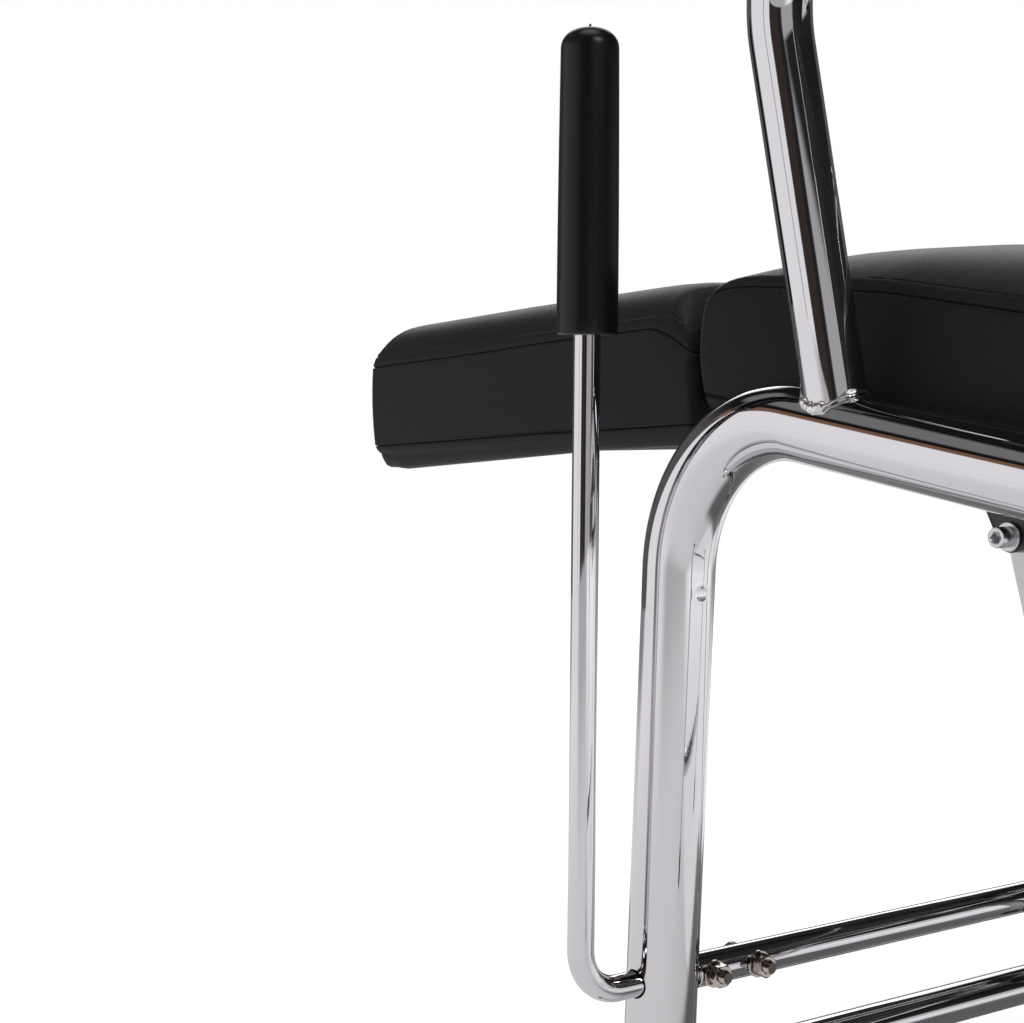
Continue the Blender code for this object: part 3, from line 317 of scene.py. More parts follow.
def bent_path(corners, radius, step=BEND_STEP, straight=STRAIGHT_STEP):
    """Points and directions along straight runs joined by arcs. Each arc starts radius * tan(turn / 2)
    before its corner and follows centre + radius * (run sin - normal cos)."""
    corners = [np.asarray(c, float) for c in corners]
    runs = []
    last = corners[0]
    for before, corner, after in zip(corners, corners[1:], corners[2:]):
        arriving = unit(corner - before)
        leaving = unit(after - corner)
        turn = math.acos(np.clip(arriving @ leaving, -1, 1))
        reach = radius * math.tan(turn / 2)
        normal = unit(leaving - arriving * (arriving @ leaving))
        start = corner - arriving * reach
        runs.append(line(last, start, straight))
        count = max(4, math.ceil(turn * radius / step))
        angles = np.linspace(0, turn, count + 1)[1:-1, None]
        centre = start + normal * radius
        points = centre - normal * radius * np.cos(angles) + arriving * radius * np.sin(angles)
        runs.append((points, arriving * np.cos(angles) + normal * np.sin(angles)))
        last = corner + leaving * reach
    runs.append(line(last, corners[-1], straight))
    return np.concatenate([r[0] for r in runs]), np.concatenate([r[1] for r in runs])


def across(directions, first):
    """Two vectors square to each direction, carried along without twist: the last one less its part along
    the direction, and the cross product of the two."""
    normal = np.asarray(first, float)
    normals = []
    for direction in directions:
        normal = unit(normal - direction * (normal @ direction))
        normals.append(normal)
    normals = np.array(normals)
    return normals, np.cross(directions, normals)


def tube_rows(points, directions, radius, segments=72, first=(1.0, 0.0, 0.0)):
    """Rings round a path: point + radius * (normal cos + side sin)."""
    normals, sides = across(directions, first)
    angles = full_turn(segments)
    ring = normals[:, None] * np.cos(angles)[:, None] + sides[:, None] * np.sin(angles)[:, None]
    return points[:, None] + ring * radius


def meet(origins, direction, axis_point, axis, radius):
    """Distance along each line to the far side of a round tube: the larger root of the quadratic for a
    distance of one radius from its axis."""
    axis = unit(axis)
    flat = direction - axis * (direction @ axis)
    offset = origins - axis_point
    offset = offset - np.outer(offset @ axis, axis)
    a = flat @ flat
    b = 2 * offset @ flat
    c = (offset ** 2).sum(axis=1) - radius ** 2
    return (-b + np.sqrt(np.maximum(b * b - 4 * a * c, 0.0))) / (2 * a)


def coped(rows, ends, axis):
    """Trim both ends of a tube to the frame tubes that it is welded to. For each end's (direction, axis
    point), the end ring slides along the direction to the frame's surface, and the rows that it passes go.
    Gives the rows and, for each end, the cut ring with its direction."""
    cuts = []
    for direction, axis_point in ends:
        reach = meet(rows[0], direction, axis_point, axis, FRAME_RADIUS)
        ring = rows[0] + direction * reach[:, None]
        clear = ((rows - rows[0]) @ direction).min(axis=1) > reach.max() + COPE_CLEARANCE
        rows = np.concatenate([ring[None], rows[clear]])[::-1]
        cuts.append((ring, direction))
    return rows, cuts


def hexagon(flats, angles):
    """Radius of a hexagon at each angle: half its width over flats, divided by the cosine of the angle from
    the middle of the nearest flat."""
    within = (angles + math.pi / 6) % (math.pi / 3) - math.pi / 6
    return flats / 2 / np.cos(within)


def spokes(axis, segments):
    """Angles of a full turn, and the unit vectors there, square to the axis: first cos + second sin."""
    first = unit(np.cross(axis, (0.31, 0.52, 0.79) if abs(axis[2]) < 0.9 else (0.0, 1.0, 0.0)))
    second = np.cross(axis, first)
    angles = full_turn(segments)
    return angles, first * np.cos(angles)[:, None] + second * np.sin(angles)[:, None]


def turned_rows(profile, start, axis, segments=72, spin=0.0):
    """Rings of a turned piece from (along, radius) or (along, radius, flats), at start + axis * along +
    spoke * radius; with flats, a hexagon across them that is cut down to the radius."""
    axis = unit(axis)
    angles, ring = spokes(axis, segments)
    rows = []
    for along, radius, *flats in profile:
        size = np.full(segments, radius)
        if flats:
            size = np.minimum(hexagon(flats[0], angles + spin), radius)
        rows.append(start + axis * along + ring * size[:, None])
    return np.array(rows)


def threaded_rows(start, axis, begin, end, radius, pitch=0.001, segments=36):
    """Rings of a screw thread: the depth goes down and up over each pitch, |2 phase - 1| * pitch / 2, with
    a phase that falls by one over a turn, and the tip tapers from half a millimetre in."""
    angles, ring = spokes(axis, segments)
    rows = []
    for along in np.arange(begin, end, pitch / 7):
        phase = (along / pitch - angles / (2 * math.pi)) % 1.0
        size = radius - np.abs(2 * phase - 1) * 0.5 * pitch
        size = np.minimum(size, radius - 0.0005 + (end - along) * 0.9)
        rows.append(start + axis * along + ring * size[:, None])
    return np.array(rows)


# Shader nodes

class Socket:
    """An output socket that can be used in sums: each operator adds a Math node."""

    def __init__(self, graph, socket):
        self.graph = graph
        self.socket = socket

    def maths(self, operation, *others):
        """A Math node on this value and the others."""
        return self.graph.node("ShaderNodeMath", {"operation": operation}, self, *others)

    def __add__(self, other):
        return self.maths("ADD", other)

    def __sub__(self, other):
        return self.maths("SUBTRACT", other)

    def __rsub__(self, other):
        return self.graph.node("ShaderNodeMath", {"operation": "SUBTRACT"}, other, self)

    def __mul__(self, other):
        return self.maths("MULTIPLY", other)

    __radd__ = __add__
    __rmul__ = __mul__


class Graph:
    """A node tree, with one method that makes and joins nodes."""

    def __init__(self, tree):
        self.tree = tree

    def node(self, kind, settings=None, *inputs, out=0, **named):
        """A node of a type, with its settings and then its sockets' values or links, by place or by name."""
        made = self.tree.nodes.new(kind)
        for key, value in (settings or {}).items():
            setattr(made, key, value)
        places = inputs[0].items() if inputs and isinstance(inputs[0], dict) else enumerate(inputs)
        for key, value in [*places, *named.items()]:
            socket = made.inputs[key.replace("_", " ") if isinstance(key, str) else key]
            if isinstance(value, Socket):
                self.tree.links.new(value.socket, socket)
            else:
                socket.default_value = value
        return Socket(self, made.outputs[out])

    def step(self, value, low, high, start=0.0, end=1.0):
        """Smooth step from start to end as a value goes from low to high."""
        settings = {"interpolation_type": "SMOOTHSTEP"}
        return self.node("ShaderNodeMapRange", settings, value, low, high, start, end)

    def blend(self, factor, first, second):
        """Colour that goes from the first to the second by a factor."""
        values = {0: factor, 6: (*first, 1), 7: (*second, 1)}
        return self.node("ShaderNodeMix", {"data_type": "RGBA"}, values, out=2)

    def band(self, value, low, high, soft):
        """One between two values and nothing outside: a step up times a step down, each 2 soft wide."""
        up = self.step(value, low - soft, low + soft)
        return up * self.step(value, high - soft, high + soft, 1.0, 0.0)

    def split(self, vector):
        """The three parts of a vector."""
        first = self.node("ShaderNodeSeparateXYZ", None, vector)
        return [Socket(self, output) for output in first.socket.node.outputs]

    def rays(self):
        """Whether a ray comes from the camera, and whether it is a mirrored one."""
        outputs = self.node("ShaderNodeLightPath").socket.node.outputs
        return Socket(self, outputs["Is Camera Ray"]), Socket(self, outputs["Is Glossy Ray"])


class Finish(Graph):
    """A material: constants stand on the shader's sockets, and Object coordinates place what changes."""

    def __init__(self, name, colour, roughness, metallic=0.0, **settings):
        self.material = bpy.data.materials.new(name)
        self.material.use_nodes = True
        super().__init__(self.material.node_tree)
        self.shader = self.tree.nodes["Principled BSDF"]
        values = {"Base Color": (*colour, 1.0), "Roughness": roughness, "Metallic": metallic, **settings}
        for key, value in values.items():
            self.shader.inputs[key.replace("_", " ")].default_value = value
        self.where = self.node("ShaderNodeTexCoord", out=3)

    def noise(self, scale, detail=2.0, roughness=0.5, where=None):
        """Cloudy noise of a scale, in grains to the metre, over the piece's own or other coordinates."""
        values = {"Vector": where or self.where, "Scale": scale, "Detail": detail, "Roughness": roughness}
        return self.node("ShaderNodeTexNoise", None, values)

    def bump(self, height, strength, distance):
        """Normal tilted by the slope of a height, of which one stands for the distance."""
        return self.node("ShaderNodeBump", None, Strength=strength, Distance=distance, Height=height)

    def join(self, **links):
        """Link each value to the shader's socket of that name, and give the material."""
        for key, value in links.items():
            self.tree.links.new(value.socket, self.shader.inputs[key.replace("_", " ")])
        return self.material


def chrome():
    """Bright plate: fine haze and coarse smudges roughen it, and a weak bump gives a tube's waviness."""
    look = Finish("chrome_plate", (0.660, 0.644, 0.670), 0.045, 1.0)
    haze = look.noise(38.0, 3.0)
    smudge = look.step(look.noise(9.0, 4.0, 0.6), 0.52, 0.75)
    return look.join(
        Roughness=0.025 + haze * 0.03 + smudge * 0.05,
        Normal=look.bump(look.noise(60.0, 1.0), 0.03, 0.0006))


def weld_metal():
    """Plated weld bead: pale metal blended to brown by a stain, rougher and higher with fine lumps."""
    look = Finish("plated_weld", (0.76, 0.75, 0.75), 0.24, 1.0)
    lumps = look.noise(520.0, 3.0, 0.6)
    stain = look.step(look.noise(130.0, 2.0), 0.5, 0.8)
    return look.join(
        Base_Color=look.blend(stain, (0.84, 0.83, 0.83), (0.62, 0.58, 0.55)),
        Roughness=0.20 + lumps * 0.22, Normal=look.bump(lumps, 0.30, 0.0008))


def vinyl():
    """Black upholstery vinyl: its height is the sum of pebbled cells, pores and faint creases, its
    roughness grows with the cells and with slow shade, and its shine is a satin sheen."""
    shine = {"Specular IOR Level": 0.09, "Sheen Weight": 0.28, "Specular Tint": (1.0, 0.93, 1.03, 1.0),
             "Sheen Roughness": 0.22, "Sheen Tint": (1.0, 0.94, 1.03, 1.0)}
    look = Finish("black_vinyl", (0.0164, 0.0150, 0.0172), 0.42, **shine)
    stray = look.node("ShaderNodeTexNoise", None, Vector=look.where, Scale=420.0, Detail=1.0, out=1)
    warp = look.node("ShaderNodeVectorMath", {"operation": "MULTIPLY_ADD"}, stray, (0.0007,) * 3, look.where)
    cells = look.node("ShaderNodeTexVoronoi", {"feature": "SMOOTH_F1"}, Vector=warp, Scale=1150.0,
                      Smoothness=0.6)
    pores = look.noise(2600.0, 2.0)
    creases = look.noise(55.0, 4.0, 0.62)
    shade = look.noise(14.0, 3.0)
    height = cells * 0.7 + pores * 0.25 + creases * 0.9
    return look.join(
        Base_Color=look.blend(shade, (0.0148, 0.0136, 0.0155), (0.0180, 0.0165, 0.0189)),
        Roughness=0.36 + cells * 0.12 + shade * 0.08, Normal=look.bump(height, 0.26, 0.0005))


def thread(name, colour):
    """Sewing thread: a plain colour with a bump of very fine noise."""
    look = Finish(name, colour, 0.62)
    return look.join(Normal=look.bump(look.noise(3000.0, 1.0), 0.5, 0.0003))


def rubber():
    """Moulded rubber of the grip: slow wear pales and roughens it, and a fine speck gives the bump."""
    look = Finish("grip_rubber", (0.0080, 0.0075, 0.0085), 0.42, Specular_IOR_Level=0.25)
    speck = look.noise(1800.0, 2.0)
    worn = look.noise(26.0, 4.0, 0.6)
    return look.join(
        Base_Color=look.blend(worn, (0.0064, 0.0060, 0.0068), (0.0078, 0.0073, 0.0083)),
        Roughness=0.25 + worn * 0.10 + speck * 0.04, Normal=look.bump(speck, 0.12, 0.0003))


def moulded(name, colour, roughness):
    """Moulded black plastic: patches pale it, from 0.8 to 1.25, and roughen it; fine texture as bump."""
    look = Finish(name, colour, roughness)
    texture = look.noise(1400.0, 2.0)
    patch = look.noise(20.0, 3.0)
    return look.join(
        Roughness=roughness - 0.06 + patch * 0.12, Normal=look.bump(texture, 0.25, 0.0003),
        Base_Color=look.blend(patch, [c * 0.8 for c in colour], [c * 1.25 for c in colour]))


def black_paint():
    """Powder coat: a bump of orange peel, and scuffs that pale and roughen it."""
    look = Finish("black_coat", (0.018, 0.018, 0.019), 0.38)
    peel = look.noise(700.0, 2.0)
    scuff = look.step(look.noise(45.0, 4.0, 0.65), 0.58, 0.80)
    return look.join(
        Base_Color=look.blend(scuff, (0.017, 0.017, 0.018), (0.035, 0.034, 0.033)),
        Roughness=0.33 + scuff * 0.2, Normal=look.bump(peel, 0.18, 0.0004))


def plated(name, colour, roughness, grain=900.0):
    """Dull plated steel: clouds pale it, from 0.78 to full colour, and roughen it; fine grain as bump."""
    look = Finish(name, colour, roughness, 1.0)
    cloud = look.noise(90.0, 3.0)
    fine = look.noise(grain, 2.0)
    return look.join(
        Base_Color=look.blend(cloud, [c * 0.78 for c in colour], colour),
        Roughness=roughness - 0.06 + cloud * 0.12, Normal=look.bump(fine, 0.10, 0.0003))


def plywood():
    """Birch board: noise drawn out along X gives the figure, and a finer one the roughness and bump."""
    look = Finish("plywood", (0.52, 0.37, 0.22), 0.68)
    stretched = look.node("ShaderNodeVectorMath", {"operation": "MULTIPLY"}, look.where, (1.0, 14.0, 14.0))
    figure = look.noise(9.0, 5.0, 0.6, stretched)
    fine = look.noise(90.0, where=stretched)
    return look.join(
        Base_Color=look.blend(figure, (0.40, 0.26, 0.14), (0.60, 0.45, 0.29)),
        Roughness=0.6 + fine * 0.15, Normal=look.bump(fine, 0.2, 0.0004))


def make_looks():
    """Every look: a material and a slot name."""
    return {
        "chrome": (chrome(), "chrome"),
        "weld": (weld_metal(), "chrome"),
        "vinyl": (vinyl(), "vinyl"),
        "rubber": (rubber(), "grip"),
        # Seam thread: black thread, darkened below the vinyl as painted shade of the seam's groove.
        "seam_thread_and_shade": (thread("seam_thread_and_shade", (0.0035, 0.0035, 0.0036)), "vinyl"),
        # Edge thread: paler than the seam's but darker than the vinyl, partly painted shade of the stitch
        # line's valley.
        "edge_thread_and_shade": (thread("edge_thread_and_shade", (0.0085, 0.0080, 0.0088)), "vinyl"),
        "pad": (moulded("arm_pad_skin", (0.016, 0.016, 0.017), 0.46), "pad"),
        "foot": (moulded("foot_plastic", (0.018, 0.018, 0.019), 0.55), "foot"),
        "black": (black_paint(), "black_steel"),
        "grey": (plated("grey_plate", (0.60, 0.60, 0.61), 0.36), "grey_steel"),
        "zinc": (plated("zinc_plate", (0.66, 0.67, 0.69), 0.26), "zinc"),
        "nickel": (plated("nickel_plate", (0.54, 0.48, 0.44), 0.17), "zinc"),
        "cut": (plated("cut_steel", (0.20, 0.165, 0.155), 0.50, 2400.0), "zinc"),
        "wood": (plywood(), "wood"),
        "stain": (moulded("black_stain", (0.012, 0.011, 0.011), 0.6), "wood"),
    }


# Frame pieces

def between(at, places, values, period=None):
    """Vectors at some places along a line, each part by linear steps between the known ones."""
    return np.stack([np.interp(at, places, values[:, k], period=period) for k in range(3)], axis=-1)


def side_frame_rows(sign):
    """Tube along the bent path foot, front corner, rear corner, foot; round the dent its points are set
    many times closer, by linear steps."""
    foot = FOOT_SOLE + FIT - PIVOT[2]
    lean = tan(FRONT_LEG_RAKE)
    corner_up = RAIL_RISE / (1 + lean * tan(RAIL_SLOPE))
    x = sign * HALF
    corners = [place(x, front_leg_back(foot), foot), place(x, corner_up * lean, corner_up),
               place(x, REAR_CORNER_BACK, rail_up(REAR_CORNER_BACK)), place(x, rear_leg_back(foot), foot)]
    points, directions = bent_path(corners, FRAME_BEND)
    numbers = np.arange(len(points))
    near = np.flatnonzero(np.abs(points[:, 2] - PIVOT[2] - DENT_PLACE[2]) < DENT_SURROUND)
    near = near[near < len(points) // 2]
    fine = np.linspace(near[0], near[-1], DENT_FINENESS * (near[-1] - near[0]) + 1)
    stations = np.concatenate([numbers[:near[0]], fine, numbers[near[-1] + 1:]])
    points = between(stations, numbers, points)
    directions = unit_rows(between(stations, numbers, directions))
    return tube_rows(points, directions, FRAME_RADIUS, 144)


def dented(rows):
    """A small dimple: points go inwards by depth * (1 - away ** 2), less a slight rim of 0.15 depth *
    exp(-((away - 1.15) / 0.25) ** 2), where away is the distance from its middle over its radius."""
    away = np.linalg.norm(rows - place(*DENT_PLACE), axis=2) / DENT_RADIUS
    rim = 0.15 * DENT_DEPTH * np.exp(-((away - 1.15) / 0.25) ** 2)
    press = DENT_DEPTH * np.maximum(1 - away ** 2, 0.0) - rim
    return rows + unit_rows(rows.mean(axis=1, keepdims=True) - rows) * press[:, :, None]


def drill_leg(tube, sign):
    """Bore the lever's hole: a round drill along X is taken from the front leg, right through on the left
    and from the inside on the right."""
    hole = [(0.0, LEVER_HOLE_RADIUS), (LEVER_HOLE_LENGTHS[sign], LEVER_HOLE_RADIUS)]
    rows = turned_rows(hole, place(sign * LEVER_HOLE_START, 0.0, 0.0), (sign, 0.0, 0.0), 64)
    drill = put("drill", Shape().grid(rows, caps=True).mesh("drill"))
    modifier = tube.modifiers.new("hole", "BOOLEAN")
    modifier.operation = "DIFFERENCE"
    modifier.solver = "EXACT"
    modifier.object = drill
    bored = tube.evaluated_get(bpy.context.evaluated_depsgraph_get())
    mesh = bpy.data.meshes.new_from_object(bored)
    tube.modifiers.clear()
    tube.data = mesh
    bpy.data.objects.remove(drill)


def make_side_frames():
    """Both side frames, the left one with its dent, and the lever's holes in their front legs."""
    for name, sign in SIDES:
        rows = side_frame_rows(sign)
        if name == "left":
            rows = dented(rows)
        shape = Shape().grid(rows, caps=True)
        drill_leg(shape.make(name + "_frame_tube", "chrome", "frame", name + "_side_frame"), sign)


def arm_corners(sign):
    """Corners of an arm's path: up from the rail with its leans' sines as parts of a unit vector, level to
    the rear, and down to the rail."""
    out = math.sin(math.radians(ARM_OUT_LEAN))
    forward = math.sin(math.radians(ARM_FORWARD_LEAN))
    upright = math.sqrt(1 - out ** 2 - forward ** 2)
    base_up = rail_up(ARM_FRONT_BACK)
    length = (ARM_RISE - base_up) / upright
    x = sign * (HALF + out * length)
    return [place(sign * HALF, ARM_FRONT_BACK, base_up),
            place(x, ARM_FRONT_BACK - forward * length, ARM_RISE),
            place(x, ARM_CORNER_BACK, ARM_RISE),
            place(sign * HALF, ARM_REAR_BACK, rail_up(ARM_REAR_BACK))]


def weld_ring(shape, ring, outward, size, seed, thick=()):
    """A bead along a closed curve: a small tube of 0.26 of its size that swells to the full size, in
    ripples, over the thick (middle, half width, share of the size) angles of the ring, in degrees."""
    directions = unit_rows(np.roll(ring, -1, axis=0) - np.roll(ring, 1, axis=0))
    sides = unit_rows(outward)
    tops = np.cross(directions, sides)
    angles = full_turn(16)
    t = np.arange(len(ring)) / len(ring)
    lumps = np.zeros_like(t)
    for middle, half, share in thick:
        apart = np.abs((t * 360 - middle + 180) % 360 - 180)
        lumps = lumps + share * smooth(half + 12, half - 8, apart)
    rough = wave(t, (1 / 17, seed, 0.08), (1 / 41, seed * 2.1, 0.06), (1 / 73, seed * 3.3, 0.03))
    ripple = 0.26 + lumps * (0.74 + rough)
    grain = 1 + 0.07 * np.sin(angles * 3 + t[:, None] * 170 + seed) * lumps[:, None]
    around = sides[:, None] * np.cos(angles)[:, None] + tops[:, None] * np.sin(angles)[:, None]
    shape.grid(ring[:, None] + around * (size * ripple[:, None] * grain)[:, :, None], loop=True)


def make_arms():
    """Arm tubes along bent paths, coped to the rails, with a weld bead round each end, thick outside."""
    welds = Shape()
    rail_axis = place(0, 1.0, rail_up(1.0)) - place(0, 0, rail_up(0))
    for name, sign in SIDES:
        corners = arm_corners(sign)
        points, directions = bent_path(corners, ARM_BEND)
        rows = tube_rows(points, directions, ARM_RADIUS, 160)
        ends = ((unit(points[1] - points[0]), corners[0]), (unit(points[-2] - points[-1]), corners[3]))
        rows, cuts = coped(rows, ends, rail_axis)
        facing = 0 if sign > 0 else 180
        thick = [(facing + sign * angle, half, share) for angle, half, share in ARM_WELD_LUMPS]
        for turn, (ring, direction) in enumerate(cuts):
            outward = ring - ring.mean(axis=0)
            weld_ring(welds, ring + direction * ARM_WELD_LIFT, outward, ARM_WELD, 1.3 + turn + sign, thick)
        Shape().grid(rows, caps=True).make(name + "_arm_bar", "chrome", "frame", name + "_arm_tube")
    welds.make("arm_welds", "weld", "frame")


def make_stretchers():
    """Straight tubes between the legs' axes, coped to the legs, with thin weld beads round them."""
    welds = Shape()
    inward = np.array((1.0, 0.0, 0.0))
    for name, leg_back, rake in LEGS:
        middle = (leg_back(-STRETCHER_DROP), -STRETCHER_DROP)
        right, left = place(-HALF, *middle), place(HALF, *middle)
        points, directions = line(right, left, 0.010)
        rows = tube_rows(points, directions, STRETCHER_RADIUS, 64, (0.0, 0.0, 1.0))
        rows, cuts = coped(rows, ((inward, right), (-inward, left)), np.array((0.0, tan(rake), 1.0)))
        for turn, (ring, _) in enumerate(cuts):
            outward = ring - ring.mean(axis=0)
            lifted = ring + unit_rows(outward) * STRETCHER_WELD_LIFT
            weld_ring(welds, lifted, outward, STRETCHER_WELD, 0.4 + turn + rake)
        Shape().grid(rows, caps=True).make(name + "_stretcher_bar", "chrome", "frame", name + "_stretcher")
    welds.make("stretcher_welds", "weld", "frame")


def make_feet():
    """Moulded cups turned round the legs' axes, with no point below the floor."""
    bore = FRAME_RADIUS + FIT
    radius, rim = FOOT_RADIUS, FOOT_RIM
    profile = [(-FOOT_SOLE, 0.0), (-FOOT_SOLE, radius), (0.004, radius), (rim - 0.003, radius),
               (rim - 0.001, radius - 0.0007), (rim, radius - 0.0016), (rim, bore), (FOOT_SOLE, bore),
               (FOOT_SOLE, 0.0)]
    for end, leg_back, rake in LEGS:
        lean = math.radians(rake)
        for name, sign in SIDES:
            start = place(sign * HALF, leg_back(-PIVOT[2]), -PIVOT[2])
            rows = turned_rows(profile, start, (0.0, math.sin(lean), math.cos(lean)), 64)
            rows[..., 2] = np.maximum(rows[..., 2], 0.0)
            node = f"{end}_{name}_foot"
            Shape().grid(rows).make(node + "_cup", "foot", "frame", node, sharp=30.0)


# Lever and its shaft

def make_lever():
    """Lever rod along a bent path into the grip; cross tube and stub shaft turned round X, ends eased."""
    corner = place(HALF + LEVER_OFFSET, 0, 0)
    corners = [place(ROD_END, 0, 0), corner, corner + LEVER_UPRIGHT * (GRIP_BOTTOM + ROD_IN_GRIP)]
    points, directions = bent_path(corners, LEVER_BEND, 0.0012, 0.010)
    rows = tube_rows(points, directions, LEVER_ROD_RADIUS, 64, (0.0, 1.0, 0.0))
    Shape().grid(rows, caps=True).make("lever_bar", "chrome", "lever_shaft", "lever_rod")

    ease = 0.0004
    profile = [(0.0, LEVER_ROD_RADIUS + FIT), (0.0, CROSS_TUBE_RADIUS - ease), (ease, CROSS_TUBE_RADIUS)]
    profile += [(2 * CROSS_TUBE_END - along, radius) for along, radius in profile[::-1]]
    rows = turned_rows(profile, place(-CROSS_TUBE_END, 0, 0), (1.0, 0.0, 0.0), 64)
    Shape().grid(rows, loop=True).make("cross_shaft", "chrome", "lever_shaft", "cross_tube")

    ease = 0.001
    profile = [(0.0, 0.0), (0.0, LEVER_ROD_RADIUS), (STUB_LENGTH - ease, LEVER_ROD_RADIUS),
               (STUB_LENGTH, LEVER_ROD_RADIUS - ease), (STUB_LENGTH, 0.0)]
    rows = turned_rows(profile, place(-ROD_END, 0, 0), (-1.0, 0.0, 0.0), 48)
    Shape().grid(rows).make("stub_shaft", "chrome", "lever_shaft", "right_stub_shaft")


def make_grip():
    """Rubber sleeve turned round the lever: a rolled lip, a straight taper with a slight sine barrel, a
    dome of radius narrow * cos(t) ** power at height dome * sin(t) ** power, and the mould's nib."""
    length = GRIP_TOP - GRIP_BOTTOM
    nib = length - GRIP_NIB
    shoulder = nib - GRIP_DOME
    lip = GRIP_LIP
    bore = LEVER_ROD_RADIUS + 0.0002
    profile = [(0.006, bore), (lip, bore), (lip / 2, bore + 0.0008)]
    for angle in np.radians(np.linspace(-90, 0, 8)):
        profile.append((lip + lip * math.sin(angle), GRIP_WIDE - 0.0014 + lip * math.cos(angle)))
    for t in np.linspace(0.02, 0.98, 26):
        barrel = GRIP_BARREL * math.sin(math.pi * t)
        profile.append((lip + t * (shoulder - lip), GRIP_WIDE + (GRIP_NARROW - GRIP_WIDE) * t + barrel))
    for angle in np.radians(np.linspace(0, 86, 20)):
        profile.append((shoulder + GRIP_DOME * math.sin(angle) ** GRIP_DOME_POWER,
                        GRIP_NARROW * math.cos(angle) ** GRIP_DOME_POWER))
    profile += [(nib + 0.0001, 0.00075), (nib + 0.0005, 0.0006), (length - 0.0002, 0.0004), (length, 0.0)]
    start = place(HALF + LEVER_OFFSET, 0, 0) + LEVER_UPRIGHT * GRIP_BOTTOM
    rows = turned_rows(profile, start, LEVER_UPRIGHT, 96)
    Shape().grid(rows).make("grip_sleeve", "rubber", "lever_shaft", "lever_grip", sharp=50.0)


def hex_nut(start, axis, face, height, flats, bore, spin):
    """Nut: a hexagon whose corners are cut by a cone, from full radius at both slopes to 0.475 of the flats
    at the faces, round a bore with eased edges."""
    corner = flats / math.sqrt(3)
    chamfer = flats * 0.475
    slope = (corner - chamfer) * 0.62
    ease = 0.0004
    spare = 0.0002
    top = face + height
    profile = [(face, bore + ease), (face, chamfer), (face + slope, corner + spare, flats)]
    for share in (1.0, 0.75, 0.5, 0.25):
        profile.append((top - slope * share, chamfer + (corner + spare - chamfer) * share, flats))
    profile += [(top, chamfer, flats), (top, bore + ease), (top - 0.0005, bore), (face + 0.0005, bore)]
    return turned_rows(profile, start, axis, 72, spin)


def washer_rows(start, axis, face, radius, bore):
    """Washer: a turned ring with its outer edges eased."""
    edge = 0.00025
    top = face + WASHER
    profile = [(face, bore), (face, radius - edge), (face + edge, radius), (top - edge, radius),
               (top, radius - edge), (top, bore)]
    return turned_rows(profile, start, axis, 64)


def fastener(rows, name, look, body, node, sharp):
    """A nut or washer from rings that close on themselves."""
    Shape().grid(rows, loop=True).make(name, look, body, node, sharp=sharp)


def second_look(obj, look, chosen):
    """Another material on the chosen faces of a piece."""
    obj.data.materials.append(looks[look][0])
    obj.data.polygons.foreach_set("material_index", chosen.astype(np.int32))


def dull_end(bolt, axis):
    """Raw metal on the sawn end of a bolt: the faces that look along its axis and lie beyond all others."""
    normals = np.empty(len(bolt.data.polygons) * 3)
    centres = np.empty_like(normals)
    bolt.data.polygons.foreach_get("normal", normals)
    bolt.data.polygons.foreach_get("center", centres)
    reach = centres.reshape(-1, 3) @ axis
    second_look(bolt, "cut", (normals.reshape(-1, 3) @ axis > 0.95) & (reach > reach.max() - 0.0004))


def make_lever_bolts():
    """Bolts across the cross tube: washer and nut behind it, hexagon head in front, and a threaded end past
    the nut, all turned round the bolt's axis."""
    rearward = np.array((0.0, 1.0, 0.0))
    face = CROSS_TUBE_RADIUS + FIT
    nut_face = face + WASHER + FIT
    thread_start = nut_face - 0.0005
    head = -face - LEVER_BOLT_HEAD
    flats = LEVER_BOLT_FLATS
    profile = [(head, 0.0), (head, 0.00475, flats), (head + 0.0004, 0.0053, flats),
               (head + 0.0008, 0.006, flats), (-face, 0.006, flats), (-face, LEVER_BOLT_RADIUS),
               (thread_start, LEVER_BOLT_RADIUS)]
    for name, (inward, spin) in LEVER_BOLTS.items():
        start = place(HALF - inward, 0, 0)
        rows = washer_rows(start, rearward, face, LEVER_WASHER_RADIUS, LEVER_WASHER_BORE)
        fastener(rows, name + "_flat_washer", "nickel", "lever_shaft", name + "_lever_washer", 30.0)
        rows = hex_nut(start, rearward, nut_face, NUT_HEIGHT, LEVER_NUT_FLATS, LEVER_BOLT_RADIUS, spin)
        fastener(rows, name + "_hex_nut", "nickel", "lever_shaft", name + "_lever_nut", 25.0)
        shape = Shape().grid(turned_rows(profile, start, rearward, 72, spin))
        rows = threaded_rows(start, rearward, thread_start, nut_face + LEVER_BOLT_END,
                             LEVER_BOLT_RADIUS - THREAD_EASE)
        shape.grid(rows, caps=True)
        bolt = shape.make(name + "_hex_bolt", "nickel", "lever_shaft", name + "_lever_bolt", sharp=28.0)
        dull_end(bolt, rearward)


# Swing under the seat

